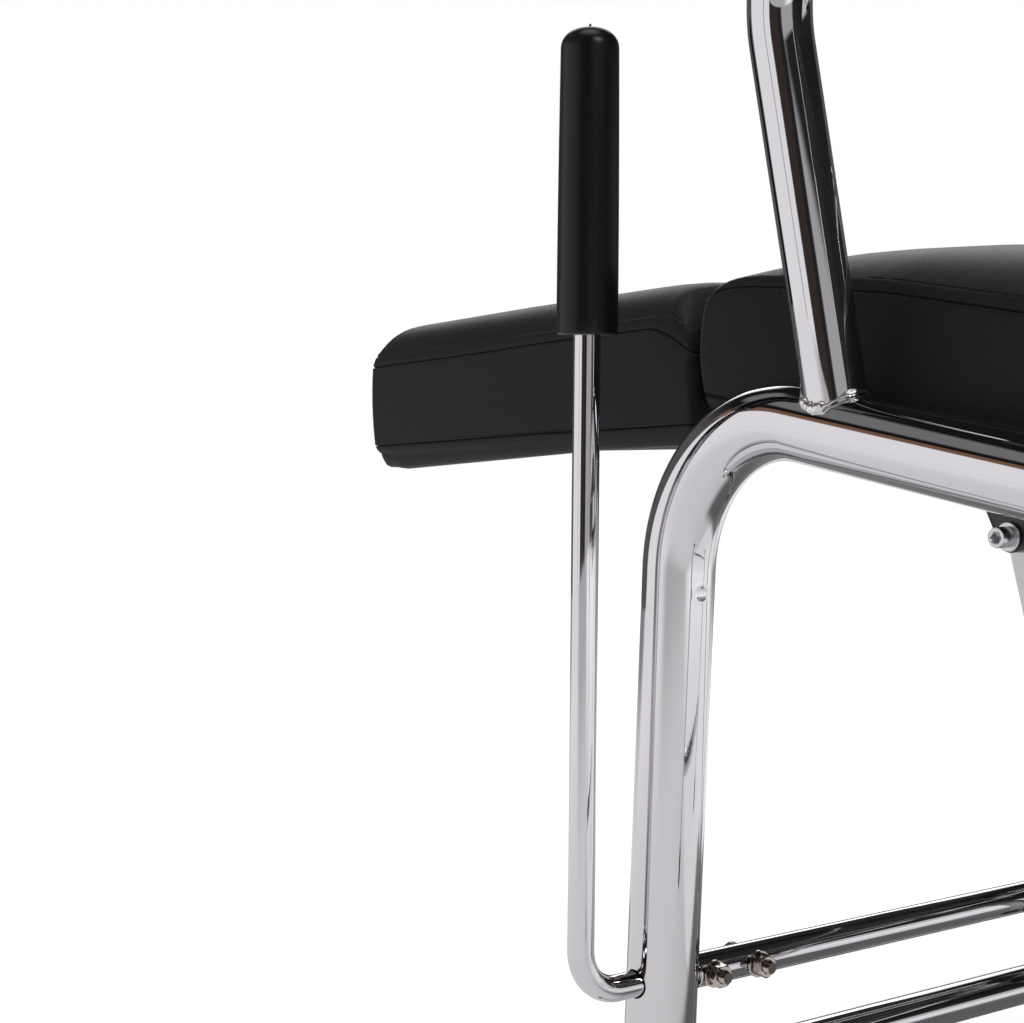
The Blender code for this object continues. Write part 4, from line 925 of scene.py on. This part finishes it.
def make_pivots():
    """Socket screws, washers and nuts of the two hangers, each turned round its own axis; the screw's head
    is knurled by drawing every other point of its two outer rows in."""
    segments = 72
    outer_rows = (6, 7)
    head = SCREW_HEAD
    seat = FIT + WASHER
    top = 2 * FIT + WASHER + SCREW_HEAD_HEIGHT
    nut_face = HANGER_BRACKET_PLATE + PLATE + 2 * SIDE_PLAY
    thread_end = nut_face + NUT_HEIGHT + 0.0015
    bottom = top - SCREW_SOCKET
    corner = SCREW_KEY / math.sqrt(3) + 0.0001
    profile = [(bottom, 0.0), (bottom, corner, SCREW_KEY), (top - 0.0003, corner, SCREW_KEY),
               (top, corner + 0.0002), (top, head - 0.0006), (top - 0.0002, head - 0.0002),
               (top - 0.0006, head), (seat + 0.0003, head), (seat, head - 0.0002), (seat, SCREW_RADIUS),
               (-nut_face, SCREW_RADIUS)]
    knurl = np.arange(segments) % 2 * KNURL
    for name, sign in SIDES:
        outward = np.array((sign, 0.0, 0.0))
        start = place(sign * (INNER_FACE - FIT), *HANGER_PIVOT)
        rows = washer_rows(start, outward, FIT, SCREW_WASHER_RADIUS, SCREW_RADIUS + FIT)
        fastener(rows, name + "_screw_washer", "zinc", "frame", name + "_pivot_washer", 30.0)
        rows = turned_rows(profile, start, outward, segments)
        for row in outer_rows:
            rows[row, :, 1:] += (rows[row].mean(axis=0) - rows[row])[:, 1:] / head * knurl[:, None]
        shape = Shape().grid(rows)
        radius = SCREW_RADIUS - THREAD_EASE
        shape.grid(threaded_rows(start, -outward, nut_face, thread_end, radius, SCREW_PITCH), caps=True)
        shape.make(name + "_socket_screw", "zinc", "frame", name + "_pivot_screw", sharp=28.0)
        rows = hex_nut(start, -outward, nut_face, NUT_HEIGHT, SCREW_NUT_FLATS, SCREW_RADIUS, 0.2)
        fastener(rows, name + "_lock_nut", "zinc", "frame", name + "_pivot_nut", 25.0)


def make_swing_bar():
    """Round bar between the hangers, turned round X, with its ends eased."""
    end = INNER_FACE - FIT - HANGER_BRACKET_PLATE - SIDE_PLAY
    ease = 0.0005
    eased_radius = SWING_BAR_RADIUS - ease
    profile = [(0.0, 0.0), (0.0, eased_radius), (ease, SWING_BAR_RADIUS), (2 * end - ease, SWING_BAR_RADIUS),
               (2 * end, eased_radius), (2 * end, 0.0)]
    start = place(-end, HANGER_PIVOT[0] + SWING_ARM[0], HANGER_PIVOT[1] + SWING_ARM[1])
    rows = turned_rows(profile, start, (1.0, 0.0, 0.0), 40)
    Shape().grid(rows).make("swing_rod", "grey", "swing", "swing_bar")


def eased(node, name, look, body, width=0.0004):
    """A copy of a flat solid, merged, cleared of flat edges, and bevelled at edges over 50 degrees."""
    work = bmesh.new()
    work.from_mesh(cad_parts[node].data)
    bmesh.ops.remove_doubles(work, verts=work.verts, dist=1e-6)
    bmesh.ops.dissolve_limit(work, angle_limit=math.radians(1.0), verts=work.verts, edges=work.edges)
    work.edges.ensure_lookup_table()
    edges = [e for e in work.edges if len(e.link_faces) == 2 and e.calc_face_angle() > math.radians(50)]
    bmesh.ops.bevel(work, geom=edges, offset=width, segments=2, affect="EDGES", clamp_overlap=True)
    mesh = bpy.data.meshes.new(name)
    work.to_mesh(mesh)
    work.free()
    return dress(name, mesh, look, body, [node], 30.0)


def stain_faces(panel):
    """Black stain on a board's two broad faces: those whose area is over a tenth of the largest face's."""
    areas = np.empty(len(panel.data.polygons))
    panel.data.polygons.foreach_get("area", areas)
    second_look(panel, "stain", areas > areas.max() * 0.1)


def leg_board_taper(along):
    """What is planed off the leg rest board's underside: 7.5 mm at the front, nothing at the hinge."""
    return 0.0075 * smooth(0.12, 0.26, along)


def make_leg_board():
    """Leg rest board: an oblong with eased edges, carried along the pad and thinned from below."""
    pad = pads()["leg_rest"][0]
    ease = BOARD_EDGE
    first, last = BOARD_INSET, LEG_BOARD_LENGTH - BOARD_INSET
    along = np.concatenate([[first], np.linspace(first + ease, last - ease, 24), [last]])
    drawn = np.zeros_like(along)
    drawn[[0, -1]] = ease
    low = leg_board_taper(along) + drawn
    high = BOARD_THICKNESS - drawn
    side = PAD_HALF_WIDTH - BOARD_INSET - drawn
    x = np.stack([side, side, side - ease, ease - side, -side, -side, ease - side, side - ease], axis=-1)
    height = np.stack([low + ease, high - ease, high, high, high - ease, low + ease, low, low], axis=-1)
    plan = np.stack([np.broadcast_to(along[:, None], x.shape), x], axis=-1)
    shape = Shape().grid(pad.to_world(plan, height), caps=True)
    stain_faces(shape.make("leg_rest_board_panel", "wood", "leg_rest", "leg_rest_board", sharp=30.0))


def make_plates():
    """Flat steel pieces and boards: the solids with their edges eased, and the leg rest's tapered board."""
    for name, _ in SIDES:
        for node, body in (("hanger_bracket", "frame"), ("leg_hinge_bracket", "frame"),
                           ("back_hinge_bracket", "frame"), ("leg_rest_lug", "leg_rest"),
                           ("back_strap", "backrest")):
            eased(f"{name}_{node}", f"{name}_{node}_plate", "black", body)
        eased(name + "_hanger", name + "_hanger_plate", "grey", "swing")
    for node, body in (("front_seat_bar", "frame"), ("rear_seat_bar", "frame"), ("leg_horn", "leg_rest"),
                       ("back_horn", "backrest"), ("crank", "lever_shaft")):
        eased(node, node + "_plate", "black", body)
    for node in ("drag_link", "leg_link", "back_link"):
        eased(node, node + "_plate", "grey", node)
    for node, body in (("seat_board", "frame"), ("back_board", "backrest")):
        stain_faces(eased(node, node + "_panel", "wood", body, BOARD_EDGE))
    make_leg_board()


# Upholstery

class Pad:
    """A boxed cushion: a top panel and a wrapped underside, sewn to a band that runs round its sides.

    The skin is a stack of closed rings. Each ring is the plan outline, a rectangle with round corners,
    drawn in by an inset, and each of its points has a height square to the pad. From the board's recess the
    rings go out under the wrap, round the lower roll, up the band and over the sewn edge to the middle of
    the crown. The lists below give the rings' insets and their shares of the way from one line of the pad
    to the next.

    Each kind of pad has its own belly, the bow of its band, its seam(), the height of the upper seam, and
    its rise(), the height of the crown over the stitch line.
    """

    SPACING = 0.004
    ARC = 9
    STRIP = 0.0060
    LOW_SEAM = 0.0088
    WRAP = 0.030
    HEM = 0.0002
    BACKING = 0.00025
    RECESS = (0.05, 0.4, 0.8)
    TO_ROLL = ((0.0215, 0.08), (0.0185, 0.40), (0.0150, 0.80), (0.0115, 1.0), (0.0085, 0.97))
    TO_BEAD = ((0.0064, 0.20), (0.0048, 0.52), (0.0037, 0.82), (0.0034, 1.0))
    TO_LOW_SEAM = ((0.0024, 0.12), (0.0013, 0.40), (0.0005, 0.70), (0.0003, 0.90), (0.0013, 1.0))
    BAND = (0.008, 0.03, *np.linspace(0.08, 0.92, 12), 0.97, 0.992)
    TO_EDGE = ((0.0013, 0.0), (0.0004, 0.09), (0.0004, 0.24), (0.0008, 0.50), (0.0014, 0.74), (0.0019, 0.91),
               (0.0030, 1.0))
    CROWN = (0.0029, 0.0036, 0.0048, 0.0062, 0.0080, 0.0102, 0.0130, 0.0165, 0.021, 0.027, 0.035, 0.046,
             0.060)
    CROWN_START = 0.0027
    SOFTNESS = 0.0010
    PUCKER = 0.00016
    lean = 0.0

    def __init__(self, start, along, square, ends, plan_radii, low):
        """In side view: the start, the directions along the pad and square to it, its two ends along, the
        corner radii in plan at both, and the height of its underside."""
        self.start = np.asarray(start, float)
        self.along = np.asarray(along, float)
        self.square = np.asarray(square, float)
        self.first, self.last = ends
        self.plan_radii = np.repeat(plan_radii, 2)
        self.low = low
        self.low_seam = low + self.LOW_SEAM
        self.half_width = PAD_HALF_WIDTH
        self.middle = np.array(((self.first + self.last) / 2, 0.0))
        self.counts = [max(2, round(length / self.SPACING)) for length in
                       (2 * self.half_width, self.last - self.first) * 2]
        number = len(self.ring(0.0))
        self.way_round = np.arange(number) / number

    def outline(self, inset):
        """Plan outline drawn in by an inset, as (along, X) points, with the outward direction at each: a
        quarter circle at each corner, centre + radius * (cos, sin), and equal steps between corners."""
        first, last, wide = self.first + inset, self.last - inset, self.half_width - inset
        radii = np.maximum(self.plan_radii - inset, 0.0006)[:, None]
        corners = np.array([(first, wide), (first, -wide), (last, -wide), (last, wide)])
        centres = corners + np.array([(1, -1), (1, 1), (-1, 1), (-1, -1)]) * radii
        turns = np.radians(np.array((90, 180, 270, 360))[:, None] + np.linspace(0, 90, self.ARC))
        rays = np.stack([np.cos(turns), np.sin(turns)], axis=-1)
        arcs = centres[:, None] + rays * radii[:, None]
        points = []
        outward = []
        for i, count in enumerate(self.counts):
            fractions = np.linspace(0, 1, count + 1)[1:-1, None]
            points += [arcs[i], arcs[i, -1] + (arcs[(i + 1) % 4, 0] - arcs[i, -1]) * fractions]
            outward += [rays[i], np.repeat(rays[i, -1:], count - 1, axis=0)]
        return np.concatenate(points), np.concatenate(outward)

    def ring(self, inset):
        """The outline's points alone."""
        return self.outline(inset)[0]

    def edge(self, along):
        """Height of the stitch line, one strip above the seam, where the crown starts."""
        return self.seam(along) + self.STRIP

    def under(self, along, x):
        """Height of the board's underside, over which the wrap lies."""
        return np.full_like(along, self.low)

    def bead(self, along, x):
        """Height of the stitch line, one strip under the lower seam."""
        return np.full_like(along, self.low_seam - self.STRIP)

    def roll(self, along, x):
        """Height of the lowest line of the roll under the sides."""
        return np.full_like(along, self.low - 0.0003)

    def to_world(self, plan, height):
        """Places from (along, X) points and heights; lean carries the first end forward as it rises."""
        reach = smooth(self.first + 0.15, self.first, plan[..., 0])
        along = plan[..., 0] - height * self.lean * reach
        back_up = self.start + along[..., None] * self.along + height[..., None] * self.square
        return np.concatenate([plan[..., 1:], back_up], axis=-1) + PIVOT

    def wander(self, scale=1.0):
        """How far the sewing strays: slow waves round the pad, of under half a millimetre."""
        seed = self.seed * scale
        return wave(self.way_round, (1 / 3, seed, 0.00030), (1 / 7, seed * 1.7, 0.00022),
                    (1 / 13, seed * 0.4, 0.00010))

    def under_rows(self):
        """Board recess, the wrap under the board, and the roll up to the lower seam: heights are shares of
        the way from wrap to roll, from roll to bead and from bead to seam."""
        board = BOARD_INSET - FIT
        inner = self.ring(board)
        top = np.full(len(inner), self.low + BOARD_THICKNESS + FIT)
        rows = [(self.middle + (inner - self.middle) * share, top) for share in self.RECESS]
        rows.append((inner, top))
        wrap_lines = ((board, self.HEM), (self.WRAP, self.HEM), (self.WRAP + self.HEM, 0.0), (0.0240, 0.0))
        for inset, raised in wrap_lines:
            ring = self.ring(inset)
            rows.append((ring, self.under(*ring.T) - self.BACKING + raised))
        for inset, share in self.TO_ROLL:
            ring = self.ring(inset)
            wrap = self.under(*ring.T) - self.BACKING
            rows.append((ring, wrap + (self.roll(*ring.T) - wrap) * share))
        for inset, share in self.TO_BEAD:
            ring = self.ring(inset)
            rows.append((ring, self.roll(*ring.T) * (1 - share) + self.bead(*ring.T) * share))
        for inset, share in self.TO_LOW_SEAM:
            ring = self.ring(inset)
            seam = self.low_seam * share + self.wander(1.3) * share
            rows.append((ring, self.bead(*ring.T) * (1 - share) + seam))
        return rows

    def band_rows(self):
        """Side band: t of the way between seams, bowed out by belly * 4 t (1 - t), nipped at both."""
        low = self.low_seam + self.wander(1.3)
        rows = []
        for t in self.BAND:
            nip = self.HEM * (t < 0.02 or t > 0.98)
            ring = self.ring(-self.belly * 4 * t * (1 - t) + nip)
            high = self.seam(ring[:, 0]) + self.wander()
            rows.append((ring, low + (high - low) * t))
        return rows

    def top_rows(self):
        """Sewn strip, by shares from seam to stitch line, and crown, by insets, then by shares inwards."""
        rows = []
        for inset, share in self.TO_EDGE:
            ring = self.ring(inset)
            low = self.seam(ring[:, 0])
            rows.append((ring, low + (self.edge(ring[:, 0]) - low) * share + self.wander()))
        for inset in self.CROWN:
            rows.append(self.crown_row(self.ring(inset), inset))
        last = rows[-1][0]
        for share in np.linspace(0.0, 0.96, 22)[1:]:
            rows.append(self.crown_row(self.middle + (last - self.middle) * (1 - share), self.CROWN[-1]))
        return rows

    def crown_row(self, ring, inset):
        """Height of the crown: the stitch line plus rise(), plus soft waves that fade at the edges, plus
        puckers and stray sewing that fade with the inset."""
        along, x = ring.T
        seed = self.seed
        inside = np.maximum(self.half_width - np.abs(x) - self.CROWN_START, 0.0)
        ahead = np.maximum(along - self.first - self.CROWN_START, 0.0)
        behind = np.maximum(self.last - along - self.CROWN_START, 0.0)
        pucker = wave(self.way_round, (1 / 181, seed, 1.0), (1 / 127, seed * 2, 0.6))
        pucker = pucker * np.exp(-inset / 0.008)
        lengthwise = wave(along, (0.19, seed, 0.5), (0.083, seed * 3, 0.35))
        crosswise = wave(x, (0.21, seed, 0.6), (0.093, seed, 0.5))
        soft = lengthwise * crosswise * (1 - np.exp(-np.minimum(np.minimum(ahead, behind), inside) / 0.03))
        height = self.edge(along) + self.rise(inside, ahead, behind)
        height = height + self.SOFTNESS * soft + self.PUCKER * pucker
        return ring, height + self.wander() * np.exp(-inset / 0.006)

    def surface(self):
        """The closed skin."""
        rows = self.under_rows() + self.band_rows() + self.top_rows()
        return Shape().grid(np.array([self.to_world(ring, height) for ring, height in rows]), caps=True)

    def stitches(self, inset, height, tilt):
        """Single stitches along a closed line at an inset and a height, a function of the distances along
        and across: short six-sided bars, thick in the middle, sunk at both ends and slightly aslant, that
        face outwards, tilted up by an angle."""
        ring, outward = self.outline(inset)
        line = self.to_world(ring, height(*ring.T))
        flat = outward * math.cos(tilt)
        back_up = flat[:, :1] * self.along + math.sin(tilt) * self.square
        facing = np.concatenate([flat[:, 1:], back_up], axis=-1)
        steps = np.linalg.norm(np.roll(line, -1, axis=0) - line, axis=1)
        total = steps.sum()
        distance = np.concatenate([[0.0], np.cumsum(steps)])
        line = np.concatenate([line, line[:1]])
        facing = np.concatenate([facing, facing[:1]])
        number = round(total / (STITCH_LENGTH + STITCH_GAP))
        fractions = np.array((0.0, 0.2, 0.5, 0.8, 1.0))
        thick = np.array((0.35, 0.9, 1.0, 0.9, 0.35)) * STITCH_SIZE
        sunk = np.array((-0.7, 0.1, 0.45, 0.1, -0.7)) * STITCH_SIZE
        where = (np.arange(number) * total / number)[:, None] + fractions * STITCH_LENGTH
        out = unit_rows(between(where, distance, facing, total))
        step = 0.0004
        forward = between(where + step, distance, line, total) - between(where - step, distance, line, total)
        aside = unit_rows(np.cross(forward, out))
        slant = (fractions - 0.5) * 0.0003
        spine = between(where, distance, line, total) + out * sunk[:, None] + aside * slant[:, None]
        angles = full_turn(6)
        around = out[:, :, None] * np.cos(angles)[:, None] + aside[:, :, None] * np.sin(angles)[:, None]
        return spine[:, :, None] + around * thick[:, None, None]


class SeatPad(Pad):
    """Its front stands upright while the seat slopes, and its nose and front edge droop."""

    belly = 0.0022
    lean = tan(RAIL_SLOPE)
    seed = 1.1

    def droop(self, along):
        """Slow fall of the nose: 8.3 mm at the front, gone 105 mm behind it."""
        return 0.0083 * np.maximum(1 - along / 0.105, 0.0) ** 1.2

    def seam(self, along):
        """54.6 mm less the droop, and 6 mm less at the front, fading as exp(-along / 8 mm)."""
        return 0.0546 - self.droop(along) - np.minimum(0.0060 * np.exp(-along / 0.008), 0.0095)

    def edge(self, along):
        """60 mm less the droop, and 10.5 mm less at the front, fading as exp(-along / 10 mm)."""
        return 0.0600 - self.droop(along) - np.minimum(0.0105 * np.exp(-along / 0.010), 0.0115)

    def rise(self, inside, from_first, from_last):
        """20 mm, neared as 1 - exp(-inside / 20 mm), arched along the seat as 1 - |reach| ** 3.4."""
        reach = (from_first - from_last) / (from_first + from_last)
        return 0.0200 * (1 - np.exp(-inside / 0.020)) * (1 - np.abs(reach) ** 3.4)


class LegRestPad(Pad):
    """Flat-topped, with its sewing drawn down at the corners beside the seat."""

    belly = 0.0010
    seed = 2.3

    def seam(self, along):
        """53.7 mm, and 18 mm less at the seat, coming up over 36 mm."""
        return 0.0537 - 0.018 * np.maximum(1 - along / 0.036, 0.0) ** 1.5

    def edge(self, along):
        """59.7 mm, and 12 mm less at the seat, coming up over 18 mm."""
        return 0.0597 - 0.012 * np.clip(1 - (along - self.first) / 0.018, 0.0, 1.0) ** 1.5

    def rise(self, inside, from_first, from_last):
        """19.5 mm, falling by 1.4 mm towards the seat, neared within 10 mm of a side, 8 mm of the end at
        the seat and 3 mm of the other end."""
        ends = (1 - np.exp(-from_first / 0.008)) * (1 - np.exp(-from_last / 0.0028))
        height = 0.0195 - 0.0014 * np.clip(1 - from_first / 0.16, 0.0, 1.0)
        return height * (1 - np.exp(-inside / 0.010)) * ends

    def by_side(self, x):
        """One at the sides, nothing from 75 mm inside them."""
        return smooth(0.075, 0.025, self.half_width - np.abs(x))

    def turn_up(self, along, x):
        """How far the underside turns up over its last 24 mm: 8.5 mm times the square of the share passed,
        and less at the sides, where 1.4 mm come early and 4 mm over the last 6 mm."""
        left = self.last - along
        middle = 0.0085 * np.maximum(1 - left / 0.024, 0.0) ** 2
        side = 0.0014 * smooth(0.024, 0.012, left) + 0.004 * np.maximum(1 - left / 0.006, 0.0) ** 2
        return middle + (side - middle) * self.by_side(x)

    def under(self, along, x):
        """The board's underside, thinned towards the front."""
        return leg_board_taper(along)

    def bead(self, along, x):
        """One strip under the lower seam, turned up with the underside, but never over the seam."""
        return np.minimum(self.low_seam - self.STRIP + self.turn_up(along, x), self.low_seam - 0.0006)

    def roll(self, along, x):
        """Near the sides the vinyl bags out, more towards the front; elsewhere it lies flat on the board."""
        bag = np.minimum(0.0015 - 0.025 * along, -0.0007) + self.turn_up(along, x)
        flat = self.under(along, x) - 0.0003
        return flat + (bag - flat) * self.by_side(x)


class BackPad(Pad):
    """Deeper, with a broad crown."""

    belly = 0.0020
    seed = 3.7

    def seam(self, along):
        """76 mm all along."""
        return np.full_like(along, 0.0760)

    def rise(self, inside, from_first, from_last):
        """22 mm, neared as 1 - exp(-inside / 35 mm), arched along the back as 1 - |reach| ** 3."""
        reach = (from_first - from_last) / (from_first + from_last)
        return 0.0220 * (1 - np.exp(-inside / 0.035)) * (1 - np.abs(reach) ** 3)


def pads():
    """The three pads, each with the body that carries it; cos and sin of a slope give its directions."""
    slope, droop, lean = math.radians(RAIL_SLOPE), LEG_REST_DROOP, BACK_LEAN
    seat = SeatPad((0.0, RAIL_RISE), (math.cos(slope), -math.sin(slope)), (math.sin(slope), math.cos(slope)),
                   (-0.0042, 0.4550), (0.006, 0.012), SEAT_BOTTOM)
    leg = LegRestPad((-0.002, RAIL_RISE - 0.0225), (-math.cos(droop), -math.sin(droop)),
                     (-math.sin(droop), math.cos(droop)), (0.0058, 0.2945), (0.004, 0.008), 0.0)
    back = BackPad((0.535, 0.175), (math.sin(lean), math.cos(lean)), (-math.cos(lean), math.sin(lean)),
                   (0.030, 0.530), (0.020, 0.024), 0.015)
    return {"seat": (seat, "frame"), "leg_rest": (leg, "leg_rest"), "back": (back, "backrest")}


def make_cushions():
    """Each pad's skin, with stitches of black thread beside its seams and paler ones along its edges; both
    threads are darker than the vinyl, partly painted shade of the sewn grooves.
    """
    for name, (pad, body) in pads().items():
        cushion = pad.surface().make(name + "_pad", "vinyl", body, name + "_cushion", sharp=80.0)
        seams = Shape()
        # Seam stitches: black thread, partly painted shade of the seam's groove.
        seams.grids(pad.stitches(0.0, lambda a, x: pad.seam(a) - SEAM_STITCH, 0.0))
        seams.grids(pad.stitches(0.0, lambda a, x: np.full_like(a, pad.low_seam + SEAM_STITCH), 0.0))
        seams.make(name + "_seam_stitches", "seam_thread_and_shade", body)
        edges = Shape()
        # Edge stitches: black thread, darker than the vinyl, partly painted shade of the stitch line's
        # valley.
        edges.grids(pad.stitches(0.0022, lambda a, x: pad.edge(a) - EDGE_STITCH, 0.6))
        edges.grids(pad.stitches(0.0027, lambda a, x: pad.bead(a, x) + EDGE_STITCH, -0.35))
        edges.make(name + "_edge_stitches", "edge_thread_and_shade", body)


def make_arm_pads():
    """Moulded pads that straddle the arm tubes: rings at each level's height and scale, x as
    cos ** 0.8 and y as sin ** 0.55 of the half sizes, the ends rounded by the root of
    1 - 0.75 share ** 2.4."""
    angles = full_turn(96)
    half_length, half_width = ARM_PAD_LENGTH / 2, ARM_PAD_WIDTH / 2
    round_end = half_width * 0.86
    for name, sign in SIDES:
        corners = arm_corners(sign)
        front = corners[1][1] + ARM_BEND * tan((90 + ARM_FORWARD_LEAN) / 2)
        rear = corners[2][1] - ARM_BEND
        middle = np.array((corners[1][0], (front + rear) / 2, ARM_RISE + PIVOT[2]))
        rows = []
        for height, scale in ARM_PAD_LEVELS:
            inset = (1 - scale) * half_width
            x = np.sign(np.cos(angles)) * np.abs(np.cos(angles)) ** 0.80 * (half_width - inset)
            y = np.sign(np.sin(angles)) * np.abs(np.sin(angles)) ** 0.55 * (half_length - inset * 1.1)
            share = np.clip((np.abs(y) - (half_length - round_end)) / round_end, 0, 1)
            x = x * np.sqrt(np.maximum(1 - share ** 2.4 * 0.75, 0.05))
            rows.append(np.stack([x, y, np.full_like(x, height)], axis=-1) + middle)
        shape = Shape().grid(np.array(rows), caps=True)
        cushion = shape.make(name + "_arm_cushion", "pad", "frame", name + "_arm_pad", sharp=50.0)


# Studio

def make_camera():
    """Camera turned by yaw, pitch and roll: each turn mixes two of its axes by cos and sin."""
    level = np.array((-math.sin(CAMERA_YAW), -math.cos(CAMERA_YAW), 0.0))
    right = np.array((-math.cos(CAMERA_YAW), math.sin(CAMERA_YAW), 0.0))
    up = np.array((0.0, 0.0, 1.0))
    ahead = level * math.cos(CAMERA_PITCH) - up * math.sin(CAMERA_PITCH)
    above = level * math.sin(CAMERA_PITCH) + up * math.cos(CAMERA_PITCH)
    tilted = right * math.cos(CAMERA_ROLL) + above * math.sin(CAMERA_ROLL)
    above = above * math.cos(CAMERA_ROLL) - right * math.sin(CAMERA_ROLL)
    data = bpy.data.cameras.new("camera")
    data.sensor_width = 36.0
    data.lens = CAMERA_LENS
    data.clip_start = 0.02
    camera = put("camera", data)
    turn = Matrix([[tilted[i], above[i], -ahead[i]] for i in range(3)]).to_4x4()
    camera.matrix_world = Matrix.Translation(Vector(place(*CAMERA_PLACE))) @ turn
    bpy.context.scene.camera = camera


def turn_angle(x, y):
    """Angle round the vertical in degrees, from the way to the camera, growing towards its right."""
    towards = x * math.sin(CAMERA_YAW) + y * math.cos(CAMERA_YAW)
    rightward = y * math.sin(CAMERA_YAW) - x * math.cos(CAMERA_YAW)
    return rightward.maths("ARCTAN2", towards) * (180 / math.pi)


def make_world():
    """A white studio, white to the eye and plain light to dull surfaces. What the chrome mirrors is a sum
    of panels, each a band of turn angles times a band of heights, in degrees, times its strength."""
    world = bpy.data.worlds.new("studio")
    bpy.context.scene.world = world
    world.use_nodes = True
    graph = Graph(world.node_tree)
    x, y, z = graph.split(graph.node("ShaderNodeTexCoord", out=0))
    turn = turn_angle(x, y)
    height = z.maths("ARCSINE") * (180 / math.pi)

    def panel(turns, heights, strength):
        """Strength within (low, high, softness) of turn and of height."""
        return graph.band(turn, *turns) * graph.band(height, *heights) * strength

    behind = (1.0 - graph.band(turn, -123, 123, 4)) * graph.step(height, 14, 30, 0.09, 0.0)
    back_panel = (1.0 - graph.band(turn, -164, 158, 6)) * graph.band(height, 14, 39, 5) * 2.2
    gap = 1.0 - graph.band(turn, -67.5, -64.5, 1) * 0.6
    left_panel = panel((-123, -45, 2), (-24, 20, 1), gap)
    left_wall = panel((-145, -45, 4), (33, 50, 2), 0.20)
    right_panel = panel((-3, 35, 3), (-12, 7, 2), 0.45)
    right_wall = panel((60, 123, 5), (-12, 7, 2), 0.65)
    overhead = graph.step(height, 66, 76) * 2.5
    lamp = panel((25, 43, 5), (28, 40, 4), 20.0)
    room = graph.step(height, 12, 24, 0.022, 0.010)
    stand = panel((-44, -17, 2), (-20, 42, 4), 0.025)
    trim = panel((-130, -45, 4), (20, 26.5, 1), 0.22)
    seen, glossy = graph.rays()
    white = room + behind + back_panel + left_panel + left_wall + right_panel + right_wall + overhead + lamp
    plain = seen + (1.0 - seen - glossy) * PLAIN_LIGHT
    brown = (stand + trim) * glossy
    white = white * glossy + plain
    parts = (white + brown, white + brown * 0.5, white + brown * 0.3)
    colour = graph.node("ShaderNodeCombineXYZ", None, *parts)
    background = world.node_tree.nodes["Background"]
    world.node_tree.links.new(colour.socket, background.inputs["Color"])


def make_floor():
    """A pale round floor, white to the eye but for the chair's shadow. In the chrome it glows with a painted
    reflection whose light grows to the right and with distance and fades ahead, and painted shade darkens it
    behind the chair and under the seat. To dull surfaces it glows with painted bounce light."""
    angles = full_turn(FLOOR_SEGMENTS)
    ring = np.stack([np.cos(angles), np.sin(angles), np.zeros_like(angles)], axis=-1)
    shape = Shape().grid(np.array([ring * 0.5, ring * FLOOR_RADIUS]))
    shape.faces.append(tuple(range(FLOOR_SEGMENTS)))
    mesh = shape.mesh("floor")
    graph = Finish("pale_floor", (0.25, 0.25, 0.25), 0.7, Emission_Strength=1.0, Specular_IOR_Level=0.0)
    x, y, _ = graph.split(graph.where)
    away = (x * x + y * y).maths("SQRT")
    turn = turn_angle(x, y)
    centre = graph.band(turn, -58, 6, 9)
    far = graph.step(away, 0.7, 2.0)
    right = graph.step(turn, 0.0, 22.0)
    # Painted shadow: under the seat and leg rest the floor's glow in the chrome is cut, standing for the
    # chair's shade.
    under = graph.band(x, -0.45, 0.18, 0.06) * graph.band(y, -0.95, -0.06, 0.05)
    mirrored = (0.62 + right * 0.22 + far * 0.20 - centre * far * 0.42) * (1.0 - under * 0.88)
    # Painted shade: far behind the chair the glow in the chrome fades, standing for the shade of the chair's
    # other parts.
    behind = (1.0 - graph.band(turn, -125, 125, 8)) * graph.step(away, 0.9, 2.6)
    mirrored = mirrored * (1.0 - behind * 0.85)
    seen, glossy = graph.rays()
    white = 0.90 + graph.step(away, 0.8, 2.2) * 0.10
    # Painted light: the floor glows with the painted reflection for mirrored rays and with painted bounce
    # light for other rays.
    light = seen * white + glossy * mirrored + (1.0 - seen - glossy) * 0.38
    mesh.materials.append(graph.join(Emission_Color=light))
    put("floor", mesh)


def make_lamp():
    """One broad soft lamp overhead, aimed at the seat, that is not seen itself."""
    data = bpy.data.lights.new("overhead", "AREA")
    data.shape = "SQUARE"
    data.size = LAMP_SIZE
    data.energy = LAMP_POWER
    lamp = put("overhead", data)
    lamp.location = LAMP_PLACE
    lamp.rotation_euler = (LAMP_AIM - LAMP_PLACE).to_track_quat("-Z", "Y").to_euler()
    lamp.visible_camera = False
    lamp.visible_glossy = False


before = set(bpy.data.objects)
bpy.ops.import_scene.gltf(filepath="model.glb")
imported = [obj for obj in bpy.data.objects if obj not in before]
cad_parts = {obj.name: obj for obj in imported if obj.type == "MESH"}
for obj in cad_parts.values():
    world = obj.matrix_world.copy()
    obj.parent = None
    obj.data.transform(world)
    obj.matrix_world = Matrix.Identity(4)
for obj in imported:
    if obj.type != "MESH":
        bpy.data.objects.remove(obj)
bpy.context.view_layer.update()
bpy.context.scene.view_settings.view_transform = "Standard"
make_camera()
make_world()
make_lamp()
make_floor()
looks = make_looks()
make_side_frames()
make_arms()
make_stretchers()
make_feet()
make_lever()
make_grip()
make_lever_bolts()
make_pivots()
make_swing_bar()
make_plates()
make_cushions()
make_arm_pads()
